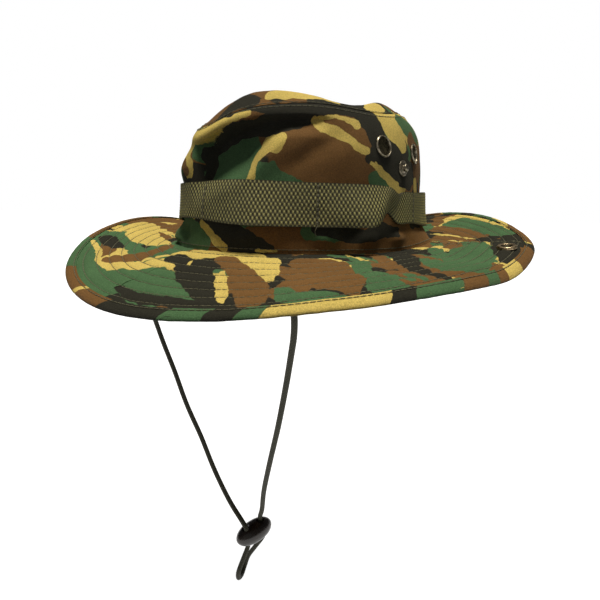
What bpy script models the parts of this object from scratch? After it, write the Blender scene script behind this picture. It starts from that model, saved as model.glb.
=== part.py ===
"""A soft boonie hat as it hangs on a head form: brim let down, chin cord and slider hanging free.

The origin is the centre of the head opening, in the plane where crown and brim are sewn together.
+Z is up, the front of the hat faces -Y and the wearer's left is +X. Lengths are in metres.
Angles go round the head opening from +X: 0 is the wearer's left, -90 degrees the front.
"""
import math

import bmesh
import bpy
from mathutils import Matrix, Vector

# Head opening and brim
HALF_WIDTH = 0.084
HALF_LENGTH = 0.100
BRIM_WIDTH = 0.069
BRIM_LIFT = 0.0010  # mean height of the brim's edge
BRIM_WAVES = ((-0.0043, 0.0157), (0.0026, 0.0107), (-0.0038, -0.0064))  # once, twice, thrice round
LIP = 0.0020  # how far the edge curls down, all round
LIP_LEFT = 0.0060  # and more than that at the wearer's left
LIP_ANGLE = math.radians(-4)
LIP_SPREAD = math.radians(36)
LIP_WIDTH = 0.014
PLY = 0.0007
INTERLINING = 0.0006
GAP = 0.0003  # between faces that touch
BRIM_INNER = 0.0005
BINDING = 0.0005
SEAM_HALF_ANGLE = 0.003
EDGE_STEPS = 14
SIDE_STEPS = 7
FLAP_STEPS = 16
BINDING_WIDTH = 0.0070
BINDING_GAP = 0.0006
BRIM_THICK = 2 * PLY + INTERLINING + 2 * GAP

# Side brims: each folds up about a line beside the crown, square to its side seam
FOLD_CLEAR = {"left": 0.0030, "right": 0.0055}  # from the crown to the fold line
FOLD_RISE = BINDING_GAP + BINDING  # the fold's axis lies this far above the cloth
FOLD_FLAT = 0.020  # the brim runs into the straight fold line over this distance
FOLD_GAP = 0.0003  # either side of the fold line
FOLD_NORMAL = {"left": math.radians(17), "right": math.radians(180)}
SNAP_ANGLE = {"left": math.radians(8), "right": math.radians(180)}
SNAP_OUT = 0.0552

# Crown
WALL = 0.0010
WALL_TOP = 0.080
CROWN_RISE = 0.012
TOP_SEAM = 0.0012
BAND_LOW = 0.0138
BAND_WIDTH = 0.025
BAND = 0.0014
BAND_SLACK = 0.0022  # how far each loop stands off the crown between its tacks
TACKS = 8
FIRST_TACK = math.radians(-41)
TACK = 0.0006
SWEATBAND_HEIGHT = 0.032
SWEATBAND = 0.0010
SEAM_TAPE = 0.0007
TAPE_GAP = 0.0012

# Hardware
SEGMENTS = 12
VENT_HEIGHT = 0.061
VENT_STEP = math.radians(11.5)  # each vent's angle from the stud
VENT_RADIUS = 0.0064
VENT_BORE = 0.0047
SOCKET_RADIUS = 0.0056
CAP_RADIUS = 0.0048
CAP_GAP = 0.0020
SOCKET_HOLE = 0.0026
STUD_RADIUS = 0.0048
SNAP_SEAT = 0.0040  # from the crown to the brim when snapped
WASHER = 0.0006
WASHER_GAP = 0.0013
BARREL_WALL = 0.0005
DRILL_DEPTH = 0.006
POST_END = 0.0023  # how far a post or barrel reaches past the wall, inside
POST_RADIUS = 0.0017
POST_HOLE = 0.0021

# Chin cord and slider
CORD = 0.0036
CORD_STEP = 0.0085
TAB_ANGLES = {"left": math.radians(-50), "right": math.radians(-130)}
TAB_OUT = (0.004, 0.018)
TAB_HALF_ANGLE = math.radians(3.6)
TAB = 0.0038
TAB_GAP = 0.0008
TAB_EXIT = 0.0011
SLIDER_CENTRE = Vector((0.004, -0.060, -0.221))
SLIDER_TURN = math.radians(78)
SLIDER_TILT = math.radians(8)
SLIDER_HOLE_OUT = 0.0067
SLIDER_BORE = 0.0024
SLIDER_HALF = (0.0150, 0.0082, 0.0080)
RIGHT_STRAND = (  # from the tab at the wearer's right down to the slider
    (-0.0720, -0.0940, -0.0055),
    (-0.0775, -0.0965, -0.0100),
    (-0.0820, -0.0960, -0.0200),
    (-0.0850, -0.0930, -0.0340),
    (-0.0860, -0.0885, -0.0500),
    (-0.0843, -0.0845, -0.0670),
    (-0.0775, -0.0827, -0.0830),
    (-0.0670, -0.0804, -0.1040),
    (-0.0558, -0.0780, -0.1285),
    (-0.0423, -0.0745, -0.1530),
    (-0.0300, -0.0718, -0.1770),
    (-0.0145, -0.0695, -0.1980),
)
TAIL_LOOP = (  # below the slider: down one side, round the end and up the other
    (0.0020, -0.0700, -0.2420),
    (0.0010, -0.0735, -0.2510),
    (-0.0010, -0.0720, -0.2590),
    (-0.0040, -0.0665, -0.2625),
    (-0.0070, -0.0605, -0.2600),
    (-0.0060, -0.0575, -0.2520),
    (-0.0010, -0.0545, -0.2420),
)
LEFT_STRAND = (  # from the slider up to the tab at the wearer's left
    (0.0130, -0.0600, -0.1960),
    (0.0236, -0.0678, -0.1700),
    (0.0370, -0.0750, -0.1380),
    (0.0495, -0.0804, -0.1060),
    (0.0600, -0.0852, -0.0760),
    (0.0687, -0.0902, -0.0520),
    (0.0730, -0.0930, -0.0400),
    (0.0755, -0.0955, -0.0300),
    (0.0745, -0.0960, -0.0215),
    (0.0712, -0.0935, -0.0160),
)


def smooth(t):
    """0 below 0, 1 above 1, and an even ease between."""
    t = min(max(t, 0.0), 1.0)
    return t * t * (3 - 2 * t)


def bisect(function, low, high):
    """Where the function changes sign between low and high."""
    rising = function(high) > function(low)
    for _ in range(48):
        middle = (low + high) / 2
        if (function(middle) > 0) == rising:
            high = middle
        else:
            low = middle
    return (low + high) / 2


def spread(start, stop, count):
    """Count even steps from start to stop, both ends included."""
    return [start + (stop - start) * i / count for i in range(count + 1)]


# The brim's surface


def outward(angle):
    """The direction straight out of the head opening at this angle."""
    return Vector((math.cos(angle) / HALF_WIDTH, math.sin(angle) / HALF_LENGTH)).normalized()


def plan(angle, out):
    """The place on the brim at this distance out from the crown seam."""
    return Vector((HALF_WIDTH * math.cos(angle), HALF_LENGTH * math.sin(angle))) + outward(angle) * out


def edge_height(angle):
    waves = sum(
        c * math.cos(n * angle) + s * math.sin(n * angle) for n, (c, s) in enumerate(BRIM_WAVES, 1)
    )
    return BRIM_LIFT + waves


def reach(angle):
    """How far out the brim's edge lies: less where it droops or rises."""
    return math.sqrt(BRIM_WIDTH**2 - edge_height(angle) ** 2)


def lip(angle):
    turn = math.remainder(angle - LIP_ANGLE, 2 * math.pi)
    return LIP + LIP_LEFT * math.exp(-((turn / LIP_SPREAD) ** 2))


def free_height(angle, out):
    """The brim's top face before the fold lines straighten it."""
    share = out / reach(angle)
    curl = max(0.0, (out - reach(angle) + LIP_WIDTH) / LIP_WIDTH) ** 2
    return (edge_height(angle) + lip(angle)) * share - lip(angle) * curl


def fold_axis(side):
    """The fold line's normal in plan, and its distance from the origin."""
    normal = Vector((math.cos(FOLD_NORMAL[side]), math.sin(FOLD_NORMAL[side])))
    return normal, math.hypot(HALF_WIDTH * normal.x, HALF_LENGTH * normal.y) + FOLD_CLEAR[side]


def fold_corner(side, turn, shift=0.0, inside=0.0):
    """The angle where the fold line, moved out by shift, meets the brim's edge, moved in by inside."""
    normal, distance = fold_axis(side)
    start = FOLD_NORMAL[side]

    def beyond(step):
        angle = start + turn * step
        return plan(angle, reach(angle) - inside) @ normal - distance - shift

    return start + turn * bisect(beyond, 0.3, 1.6)


def fold_line(side):
    """The fold line's two ends, at the brim's edge: front end first."""
    ends = []
    for turn in (-1, 1):
        angle = fold_corner(side, turn)
        ends.append(Vector((*plan(angle, reach(angle)), free_height(angle, reach(angle)))))
    return sorted(ends, key=lambda end: end.y)


FOLDS = {side: fold_line(side) for side in FOLD_NORMAL}


def brim(angle, out, below=0.0):
    """A point on the brim's top face, or the given depth below it."""
    place = plan(angle, out)
    height = free_height(angle, out)
    for side, (front, rear) in FOLDS.items():
        normal, distance = fold_axis(side)
        near = smooth(1 - abs(place @ normal - distance) / FOLD_FLAT)
        along = (place.y - front.y) / (rear.y - front.y)
        height += near * (front.z + along * (rear.z - front.z) - height)
    return Vector((place.x, place.y, height - below))


def out_to_fold(angle, side, shift):
    """How far out along this angle the fold line lies, once moved out by shift."""
    normal, distance = fold_axis(side)
    facing = outward(angle) @ normal
    if facing < 0.15:
        return math.inf
    return (distance + shift - plan(angle, 0) @ normal) / facing


# Making objects


def material(name, colour, roughness, metallic=0.0):
    made = bpy.data.materials.new(name)
    made.use_nodes = True
    shader = made.node_tree.nodes["Principled BSDF"]
    shader.inputs["Base Color"].default_value = (*colour, 1)
    shader.inputs["Roughness"].default_value = roughness
    shader.inputs["Metallic"].default_value = metallic
    return made


def add(name, vertices, faces, surface):
    """An object from points and faces, its faces turned outward."""
    mesh = bpy.data.meshes.new(name)
    mesh.from_pydata([tuple(v) for v in vertices], [], faces)
    shape = bmesh.new()
    shape.from_mesh(mesh)
    bmesh.ops.recalc_face_normals(shape, faces=shape.faces)
    shape.to_mesh(mesh)
    shape.free()
    mesh.materials.append(surface)
    mesh.shade_smooth()
    mesh.set_sharp_from_angle(angle=math.radians(40))
    made = bpy.data.objects.new(name, mesh)
    bpy.context.scene.collection.objects.link(made)
    return made


def halves(corners, points):
    """The two triangles of a four-sided face, cut along its shorter diagonal as seen from above."""
    a, b, c, d = corners
    plans = [point.to_2d() for point in points]
    if (plans[0] - plans[2]).length < (plans[1] - plans[3]).length - 1e-6:
        return [(a, b, c), (a, c, d)]
    return [(a, b, d), (b, c, d)]


def loft(name, sections, surface, ring=False):
    """A closed solid through equal sections, joined end to end as a ring or capped."""
    size = len(sections[0])
    vertices = [point for section in sections for point in section]
    faces = []
    for i in range(len(sections) - (0 if ring else 1)):
        here, there = i * size, (i + 1) % len(sections) * size
        for j in range(size):
            k = (j + 1) % size
            corners = (here + j, there + j, there + k, here + k)
            faces += halves(corners, [vertices[c] for c in corners])
    if not ring:
        faces.append(tuple(range(size)))
        faces.append(tuple(len(vertices) - 1 - j for j in range(size)))
    return add(name, vertices, faces, surface)


def turned(name, profile, place, surface):
    """A profile of (radius, height) points turned round place's Z axis; it may start and end on it."""
    vertices, rows = [], []
    for radius, height in profile:
        count = SEGMENTS if radius > 0 else 1
        rows.append([len(vertices) + i for i in range(count)])
        for i in range(count):
            angle = 2 * math.pi * i / SEGMENTS
            spot = Vector((radius * math.cos(angle), radius * math.sin(angle), height))
            vertices.append(place @ spot)
    pairs = list(zip(rows, rows[1:]))
    if len(rows[0]) > 1:
        pairs.append((rows[-1], rows[0]))
    faces = []
    for low, high in pairs:
        for i in range(SEGMENTS):
            k = (i + 1) % SEGMENTS
            corners = (low[i % len(low)], low[k % len(low)], high[k % len(high)], high[i % len(high)])
            faces.append(tuple(dict.fromkeys(corners)))
    return add(name, vertices, faces, surface)


def stand(origin, normal):
    """A frame at origin whose Z axis is the normal."""
    return Matrix.Translation(origin) @ normal.to_track_quat("Z", "Y").to_matrix().to_4x4()


def drill(targets, place, radius, half_depth):
    """Cuts a round hole along place's Z axis through each target."""
    cutter = turned(
        f"drill_{targets[0].name}",
        ((0, -half_depth), (radius, -half_depth), (radius, half_depth), (0, half_depth)),
        place,
        targets[0].data.materials[0],
    )
    cutter.hide_render = True
    cutter.display_type = "WIRE"
    for target in targets:
        cut = target.modifiers.new("hole", "BOOLEAN")
        cut.operation = "DIFFERENCE"
        cut.object = cutter


# Brim pieces


def layer_section(route, top, thick):
    """A layer's cross-section along a route of (angle, out) pairs over the brim."""
    upper = [brim(angle, out, top) for angle, out in route]
    lower = [brim(angle, out, top + thick) for angle, out in reversed(route)]
    return upper + lower


def edge_angles(half):
    """Angles of the fixed front or rear half between its two fold corners."""
    turn = -1 if half == "front" else 1
    whole_turn = 2 * math.pi if half == "front" else 0.0
    left_corner = fold_corner("left", turn, -FOLD_GAP)
    right_corner = fold_corner("right", -turn, -FOLD_GAP) - whole_turn
    return spread(left_corner, right_corner, EDGE_STEPS)


def fixed_routes(half):
    """The fixed half from side seam to side seam: out from the crown to the edge or to a fold line."""
    turn = -1 if half == "front" else 1
    whole_turn = 2 * math.pi if half == "front" else 0.0
    between = edge_angles(half)
    start = FOLD_NORMAL["left"] + turn * SEAM_HALF_ANGLE
    stop = FOLD_NORMAL["right"] - whole_turn - turn * SEAM_HALF_ANGLE
    routes = []
    for angle in spread(start, between[0], SIDE_STEPS)[:-1]:
        routes.append([(angle, out) for out in spread(BRIM_INNER, out_to_fold(angle, "left", -FOLD_GAP), 4)])
    for angle in between:
        rim, edge = reach(angle) - BINDING_WIDTH, reach(angle) - BINDING - BINDING_GAP
        routes.append([(angle, out) for out in spread(BRIM_INNER, rim, 3) + [edge]])
    for angle in spread(between[-1], stop, SIDE_STEPS)[1:]:
        routes.append([(angle, out) for out in spread(BRIM_INNER, out_to_fold(angle, "right", -FOLD_GAP), 4)])
    return routes


def flap_angles(side, inside):
    """Angles along the side brim, from fold line to fold line, at this distance in from the edge."""
    front = fold_corner(side, -1, FOLD_GAP, inside)
    rear = fold_corner(side, 1, FOLD_GAP, inside)
    return spread(front, rear, FLAP_STEPS)


def flap_routes(side):
    """The side brim, out from its fold line to the binding's rim and on to the edge."""
    routes = []
    inset = BINDING + BINDING_GAP
    insets = (BINDING_WIDTH + 0.004, BINDING_WIDTH, inset)
    for fold, rim, edge in zip(*(flap_angles(side, distance) for distance in insets)):
        start = Vector((fold, out_to_fold(fold, side, FOLD_GAP)))
        stop = Vector((rim, reach(rim) - BINDING_WIDTH))
        route = [tuple(start.lerp(stop, share)) for share in spread(0.0, 1.0, 3)]
        routes.append(route + [(edge, reach(edge) - inset)])
    return routes


def binding_section(angles):
    """The folded tape round the edge: angles holds one angle for its inner rim and one for its edge."""
    rim, edge = angles
    inner, outer = reach(rim) - BINDING_WIDTH, reach(edge)
    deep = BRIM_THICK + BINDING_GAP
    return [
        brim(rim, inner, -BINDING_GAP - BINDING),
        brim(edge, outer, -BINDING_GAP - BINDING),
        brim(edge, outer, deep + BINDING),
        brim(rim, inner, deep + BINDING),
        brim(rim, inner, deep),
        brim(edge, outer - BINDING, deep),
        brim(edge, outer - BINDING, -BINDING_GAP),
        brim(rim, inner, -BINDING_GAP),
    ]


def binding(name, rims, edges, surface):
    return loft(name, [binding_section(pair) for pair in zip(rims, edges)], surface)


def make_brim(cloth, inner_cloth, tape):
    """Three layers and the edge binding, each in fixed front and rear halves and two side brims."""
    layers = (
        ("brim_upper_ply", 0.0, PLY, cloth),
        ("brim_interlining", PLY + GAP, INTERLINING, inner_cloth),
        ("brim_lower_ply", PLY + INTERLINING + 2 * GAP, PLY, cloth),
    )
    flaps = {side: [] for side in FOLDS}
    for name, top, thick, surface in layers:
        for half in ("front", "rear"):
            sections = [layer_section(route, top, thick) for route in fixed_routes(half)]
            loft(f"{name}_{half}", sections, surface)
        for side in FOLDS:
            sections = [layer_section(route, top, thick) for route in flap_routes(side)]
            flaps[side].append(loft(f"{name}_{side}", sections, surface))
    for half in ("front", "rear"):
        binding(f"brim_binding_{half}", edge_angles(half), edge_angles(half), tape)
    for side in FOLDS:
        rims, edges = flap_angles(side, BINDING_WIDTH), flap_angles(side, BINDING + BINDING_GAP)
        binding(f"brim_binding_{side}", rims, edges, tape)
    return flaps


# Crown pieces


def wall_scale(height):
    """The crown wall's outline at this height, as a share of the head opening."""
    return 1 - 0.9 * height - 120 * max(0.0, height - 0.052) ** 2


def wall(angle, height, out=0.0):
    """A point on the crown wall's outer face, or the given distance outside it."""
    scale = wall_scale(height)
    place = Vector((HALF_WIDTH * math.cos(angle), HALF_LENGTH * math.sin(angle))) * scale
    place += outward(angle) * out
    return Vector((place.x, place.y, height))


def wall_normal(angle, height):
    along = wall(angle + 0.01, height) - wall(angle - 0.01, height)
    up = wall(angle, height + 0.001) - wall(angle, height - 0.001)
    return along.cross(up).normalized()


def turns(count):
    return spread(-math.pi, math.pi, count)[:-1]


def lining_ring(name, low, high, out, thick, surface, steps=40, levels=2):
    """A band of cloth that follows the wall between two heights, its outer face at out."""
    heights = spread(low, high, levels)
    sections = [
        [wall(angle, h, out) for h in heights] + [wall(angle, h, out - thick) for h in reversed(heights)]
        for angle in turns(steps)
    ]
    return loft(name, sections, surface, ring=True)


def crown_top(surface):
    """The oval top, slightly domed, sewn to the wall's upper edge."""
    steps, rings = 40, 3
    vertices, rows = [], []
    for thick in (0.0, WALL):
        for ring in spread(1.0, 0.0, rings):
            rise = WALL_TOP + TOP_SEAM + CROWN_RISE * (1 - ring**2) - thick * (1 - 0.6 * ring)
            scale = wall_scale(WALL_TOP) * ring
            count = steps if ring > 0 else 1
            rows.append([len(vertices) + i for i in range(count)])
            for angle in turns(steps)[:count]:
                vertices.append(
                    (HALF_WIDTH * math.cos(angle) * scale, HALF_LENGTH * math.sin(angle) * scale, rise)
                )
    order = list(reversed(rows[: rings + 1])) + rows[rings + 1 :]
    faces = []
    for low, high in zip(order, order[1:]):
        for i in range(steps):
            k = (i + 1) % steps
            corners = (low[i % len(low)], low[k % len(low)], high[k % len(high)], high[i % len(high)])
            faces.append(tuple(dict.fromkeys(corners)))
    return add("crown_top", vertices, faces, surface)


def band_out(angle):
    """How far the webbing's inner face stands off the wall: nothing at a tack, most between two."""
    return GAP + BAND_SLACK * math.sin(TACKS / 2 * (angle - FIRST_TACK)) ** 2


def upright_section(angle, low, high, out, thick):
    """Four corners of a strip that stands on the wall between two heights."""
    return [
        wall(angle, low, out + thick),
        wall(angle, high, out + thick),
        wall(angle, high, out),
        wall(angle, low, out),
    ]


def foliage_band(surface):
    low, high = BAND_LOW, BAND_LOW + BAND_WIDTH
    sections = []
    for angle in turns(TACKS * 8):
        out = band_out(angle)
        sections.append(upright_section(angle, low, high, out, BAND))
    return loft("foliage_band", sections, surface, ring=True)


def band_tack(number, surface):
    """One row of stitches that holds the webbing to the crown."""
    middle = FIRST_TACK + number * 2 * math.pi / TACKS
    low, high = BAND_LOW + 0.001, BAND_LOW + BAND_WIDTH - 0.001
    out = GAP + BAND + GAP + 0.0003
    sections = []
    for angle in (middle - 0.009, middle + 0.009):
        sections.append(upright_section(angle, low, high, out, TACK))
    return loft(f"band_tack_{number + 1}", sections, surface)


def back_seam_tape(surface):
    """Binding over the wall's centre-back seam, inside the crown."""
    low, high = BAND_LOW + BAND_WIDTH, WALL_TOP - 0.004
    sections = []
    for angle in spread(math.radians(86), math.radians(94), 2):
        heights = spread(low, high, 4)
        out = -WALL - TAPE_GAP
        sections.append(
            [wall(angle, h, out) for h in heights]
            + [wall(angle, h, out - SEAM_TAPE) for h in reversed(heights)]
        )
    return loft("crown_back_seam_tape", sections, surface)


# Snaps and vents


def folded(side, point, turn):
    """Where a point of the side brim lies once it has folded up by this angle."""
    front, rear = (end + Vector((0, 0, FOLD_RISE)) for end in FOLDS[side])
    axis = (front - rear) if side == "left" else (rear - front)
    return front + Matrix.Rotation(turn, 3, axis.normalized()) @ (point - front)


def socket_place(side):
    """The brim socket's frame: on the brim's top face, its Z axis up out of the cloth."""
    angle = SNAP_ANGLE[side]
    centre = brim(angle, SNAP_OUT)
    along = brim(angle + 0.02, SNAP_OUT) - brim(angle - 0.02, SNAP_OUT)
    out = brim(angle, SNAP_OUT + 0.002) - brim(angle, SNAP_OUT - 0.002)
    return stand(centre, out.cross(along).normalized())


def snapped(side):
    """The angle and height on the crown where the socket lands when its side is folded up."""
    seat = socket_place(side) @ Vector((0, 0, SNAP_SEAT))

    def clearance(turn):
        spot = folded(side, seat, turn)
        share = math.hypot(spot.x / HALF_WIDTH, spot.y / HALF_LENGTH)
        return share - wall_scale(spot.z)

    turn = bisect(clearance, math.radians(50), math.radians(115))
    spot = folded(side, seat, turn)
    return math.atan2(spot.y / HALF_LENGTH, spot.x / HALF_WIDTH), spot.z


def brim_snap(side, flap, brass):
    """Socket on the brim's top, cap below, joined by a post through the cloth."""
    place = socket_place(side)
    barrel, top = SOCKET_HOLE + BARREL_WALL, 0.0024
    drill(flap, place, barrel + GAP, DRILL_DEPTH)
    turned(
        f"snap_socket_{side}",
        (
            (SOCKET_HOLE, -BRIM_THICK),
            (barrel, -BRIM_THICK),
            (barrel, GAP),
            (SOCKET_RADIUS, GAP),
            (SOCKET_RADIUS - 0.0005, top),
            (SOCKET_HOLE + 0.0006, top),
            (SOCKET_HOLE, top - 0.0008),
        ),
        place,
        brass,
    )
    low = -BRIM_THICK - CAP_GAP
    turned(
        f"snap_cap_{side}",
        ((0, low - 0.0014), (CAP_RADIUS * 0.7, low - 0.0011), (CAP_RADIUS, low), (0, low)),
        place,
        brass,
    )


def crown_stud(side, angle, height, crown, brass):
    """Stud on the crown's outside with its post through the wall, and the washer that holds it inside."""
    place = stand(wall(angle, height), wall_normal(angle, height))
    drill([crown], place, POST_HOLE, DRILL_DEPTH)
    turned(
        f"snap_stud_{side}",
        (
            (0, -WALL - POST_END),
            (POST_RADIUS, -WALL - POST_END),
            (POST_RADIUS, 0.0004),
            (STUD_RADIUS, 0.0004),
            (STUD_RADIUS - 0.0006, 0.0011),
            (0.0016, 0.0012),
            (0.0022, 0.0024),
            (0.0014, 0.0033),
            (0, 0.0035),
        ),
        place,
        brass,
    )
    turned(
        f"snap_washer_{side}",
        (
            (POST_HOLE, -WALL - WASHER_GAP),
            (POST_HOLE, -WALL - WASHER_GAP - WASHER),
            (STUD_RADIUS, -WALL - WASHER_GAP - WASHER),
            (STUD_RADIUS, -WALL - WASHER_GAP),
        ),
        place,
        brass,
    )


def vent(name, angle, height, crown, bronze, mesh):
    """A screened eyelet: ring and barrel outside, washer inside, mesh disc held between."""
    place = stand(wall(angle, height), wall_normal(angle, height))
    drill([crown], place, VENT_BORE + 0.0008, DRILL_DEPTH)
    depth = -WALL - POST_END
    turned(
        f"{name}_eyelet",
        (
            (VENT_BORE, depth),
            (VENT_BORE + BARREL_WALL, depth),
            (VENT_BORE + BARREL_WALL, 0.0005),
            (VENT_RADIUS, 0.0005),
            (VENT_RADIUS - 0.0004, 0.0012),
            (VENT_BORE + 0.0002, 0.0012),
            (VENT_BORE, 0.0006),
        ),
        place,
        bronze,
    )
    turned(
        f"{name}_washer",
        (
            (VENT_BORE + 0.0009, -WALL - WASHER_GAP),
            (VENT_BORE + 0.0009, -WALL - WASHER_GAP - WASHER),
            (VENT_RADIUS + 0.0006, -WALL - WASHER_GAP - WASHER),
            (VENT_RADIUS + 0.0006, -WALL - WASHER_GAP),
        ),
        place,
        bronze,
    )
    screen = VENT_BORE - 0.0004
    turned(
        f"{name}_screen",
        ((0, -0.0012), (screen, -0.0012), (screen, -0.0007), (0, -0.0007)),
        place,
        mesh,
    )


# Chin cord


def cord_tab(side, surface):
    """A folded cloth tab under the brim that the cord's end is sewn into."""
    middle = TAB_ANGLES[side]
    low = BRIM_THICK + TAB_GAP
    sections = []
    for angle in (middle - TAB_HALF_ANGLE, middle + TAB_HALF_ANGLE):
        outs = spread(*TAB_OUT, 2)
        sections.append(
            [brim(angle, out, low) for out in outs] + [brim(angle, out, low + TAB) for out in reversed(outs)]
        )
    return loft(f"chin_cord_tab_{side}", sections, surface)


def slider_frame():
    """The slider's own frame: X along its length, Z along its two holes."""
    turn = Matrix.Rotation(SLIDER_TURN, 4, "Z") @ Matrix.Rotation(-SLIDER_TILT, 4, "Y")
    return Matrix.Translation(SLIDER_CENTRE) @ turn


def cord_slider(surface):
    """An oval bead with two holes side by side."""
    shape = bmesh.new()
    bmesh.ops.create_uvsphere(shape, u_segments=16, v_segments=10, radius=1)
    bmesh.ops.transform(shape, matrix=Matrix.Rotation(math.pi / 2, 4, "Y"), verts=shape.verts)
    frame = slider_frame()
    for vertex in shape.verts:
        x, y, z = vertex.co
        full = 1.0 + 0.10 * (1 - x * x) * x * x
        vertex.co = frame @ Vector((x * SLIDER_HALF[0], y * full * SLIDER_HALF[1], z * full * SLIDER_HALF[2]))
    vertices = [v.co.copy() for v in shape.verts]
    faces = [tuple(v.index for v in face.verts) for face in shape.faces]
    shape.free()
    bead = add("cord_slider", vertices, faces, surface)
    for side in (-1, 1):
        place = frame @ Matrix.Translation((side * SLIDER_HOLE_OUT, 0, 0))
        drill([bead], place, SLIDER_BORE, 2 * SLIDER_HALF[2])
    return bead


def tab_exit(side):
    """Where the cord leaves its tab: the middle of the tab's outer end."""
    return brim(TAB_ANGLES[side], TAB_OUT[1] + TAB_EXIT, BRIM_THICK + TAB_GAP + TAB / 2)


def hole_points(side):
    """The straight run of cord through one of the slider's holes, top first."""
    frame = slider_frame()
    heights = (0.0095, 0.003, -0.003, -0.0095)
    return [frame @ Vector((side * SLIDER_HOLE_OUT, 0, height)) for height in heights]


def cord_route():
    points = [tab_exit("right")] + [Vector(p) for p in RIGHT_STRAND]
    points += hole_points(-1) + [Vector(p) for p in TAIL_LOOP] + list(reversed(hole_points(1)))
    return points + [Vector(p) for p in LEFT_STRAND] + [tab_exit("left")]


def smooth_curve(points, step):
    """Points at even steps along a smooth curve through the route."""
    padded = [2 * points[0] - points[1]] + points + [2 * points[-1] - points[-2]]
    fine = []
    for a, b, c, d in zip(padded, padded[1:], padded[2:], padded[3:]):
        for i in range(12):
            t = i / 12
            bend, twist = 2 * a - 5 * b + 4 * c - d, 3 * b - a - 3 * c + d
            fine.append(0.5 * (2 * b + (c - a) * t + bend * t**2 + twist * t**3))
    fine.append(points[-1])
    length = sum((q - p).length for p, q in zip(fine, fine[1:]))
    count = round(length / step)
    even, travelled, target = [fine[0]], 0.0, length / count
    for p, q in zip(fine, fine[1:]):
        gap = (q - p).length
        while travelled + gap >= target and len(even) < count:
            even.append(p.lerp(q, (target - travelled) / gap))
            target += length / count
        travelled += gap
    return even + [fine[-1]]


def chin_cord(surface):
    points = smooth_curve(cord_route(), CORD_STEP)
    line = bpy.data.curves.new("chin_cord", "CURVE")
    line.dimensions = "3D"
    line.bevel_depth = CORD / 2
    line.bevel_resolution = 2
    line.use_fill_caps = True
    spline = line.splines.new("POLY")
    spline.points.add(len(points) - 1)
    for point, place in zip(spline.points, points):
        point.co = (*place, 1)
    line.materials.append(surface)
    made = bpy.data.objects.new("chin_cord", line)
    bpy.context.scene.collection.objects.link(made)
    return made


def main():
    for old in list(bpy.data.objects):
        bpy.data.objects.remove(old)
    cloth = material("camouflage_cloth", (0.16, 0.15, 0.07), 0.9)
    inner_cloth = material("interlining", (0.55, 0.52, 0.44), 0.95)
    tape = material("binding_tape", (0.20, 0.17, 0.08), 0.9)
    webbing = material("webbing", (0.12, 0.11, 0.05), 0.85)
    thread = material("thread", (0.10, 0.10, 0.05), 0.8)
    cotton = material("sweatband_cotton", (0.13, 0.14, 0.08), 0.95)
    brass = material("aged_brass", (0.45, 0.33, 0.16), 0.35, 1.0)
    bronze = material("bronzed_brass", (0.20, 0.17, 0.11), 0.4, 1.0)
    screen = material("vent_mesh", (0.05, 0.05, 0.03), 0.7)
    braid = material("braided_cord", (0.07, 0.07, 0.03), 0.8)
    plastic = material("dark_plastic", (0.02, 0.012, 0.008), 0.25)

    flaps = make_brim(cloth, inner_cloth, tape)
    crown = lining_ring("crown_side", 0.0005, WALL_TOP, 0.0, WALL, cloth, levels=6)
    crown_top(cloth)
    lining_ring("sweatband", 0.002, SWEATBAND_HEIGHT, -WALL - GAP, SWEATBAND, cotton)
    back_seam_tape(cotton)
    foliage_band(webbing)
    for number in range(TACKS):
        band_tack(number, thread)
    for side, flap in flaps.items():
        angle, height = snapped(side)
        brim_snap(side, flap, brass)
        crown_stud(side, angle, height, crown, brass)
        forward = -1 if side == "left" else 1
        for place, turn_by in (("front", forward), ("rear", -forward)):
            vent(f"vent_{side}_{place}", angle + turn_by * VENT_STEP, VENT_HEIGHT, crown, bronze, screen)
        cord_tab(side, cloth)
    cord_slider(plastic)
    chin_cord(braid)


main()
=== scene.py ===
"""The looks of a soft boonie hat: camouflage cloth, webbing, brass and a braided chin cord.

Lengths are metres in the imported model's frame: the origin is the centre of the head opening, +Z is
up, the front of the hat faces -Y and the wearer's left is +X. Angles go round the opening from +X.
"""
import math
from functools import partial

import bmesh
import bpy
import numpy as np
from mathutils import Matrix, Vector


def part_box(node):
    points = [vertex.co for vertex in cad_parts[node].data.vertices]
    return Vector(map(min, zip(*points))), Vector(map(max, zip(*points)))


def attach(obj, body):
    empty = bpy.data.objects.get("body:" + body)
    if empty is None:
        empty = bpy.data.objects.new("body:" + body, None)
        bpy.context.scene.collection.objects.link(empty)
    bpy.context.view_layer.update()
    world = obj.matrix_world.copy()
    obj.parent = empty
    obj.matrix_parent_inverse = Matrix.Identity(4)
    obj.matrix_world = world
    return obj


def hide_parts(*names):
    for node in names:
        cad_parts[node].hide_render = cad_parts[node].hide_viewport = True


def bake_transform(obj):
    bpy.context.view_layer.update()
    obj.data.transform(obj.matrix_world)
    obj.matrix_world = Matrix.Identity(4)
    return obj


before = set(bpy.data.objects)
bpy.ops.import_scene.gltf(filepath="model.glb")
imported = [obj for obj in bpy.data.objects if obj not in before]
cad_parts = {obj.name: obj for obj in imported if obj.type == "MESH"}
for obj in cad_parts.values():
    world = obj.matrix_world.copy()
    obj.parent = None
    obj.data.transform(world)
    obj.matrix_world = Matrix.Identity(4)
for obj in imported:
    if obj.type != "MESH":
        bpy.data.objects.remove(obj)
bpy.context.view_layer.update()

FINE = 1.0  # share of the full number of mesh columns and rows

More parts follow.
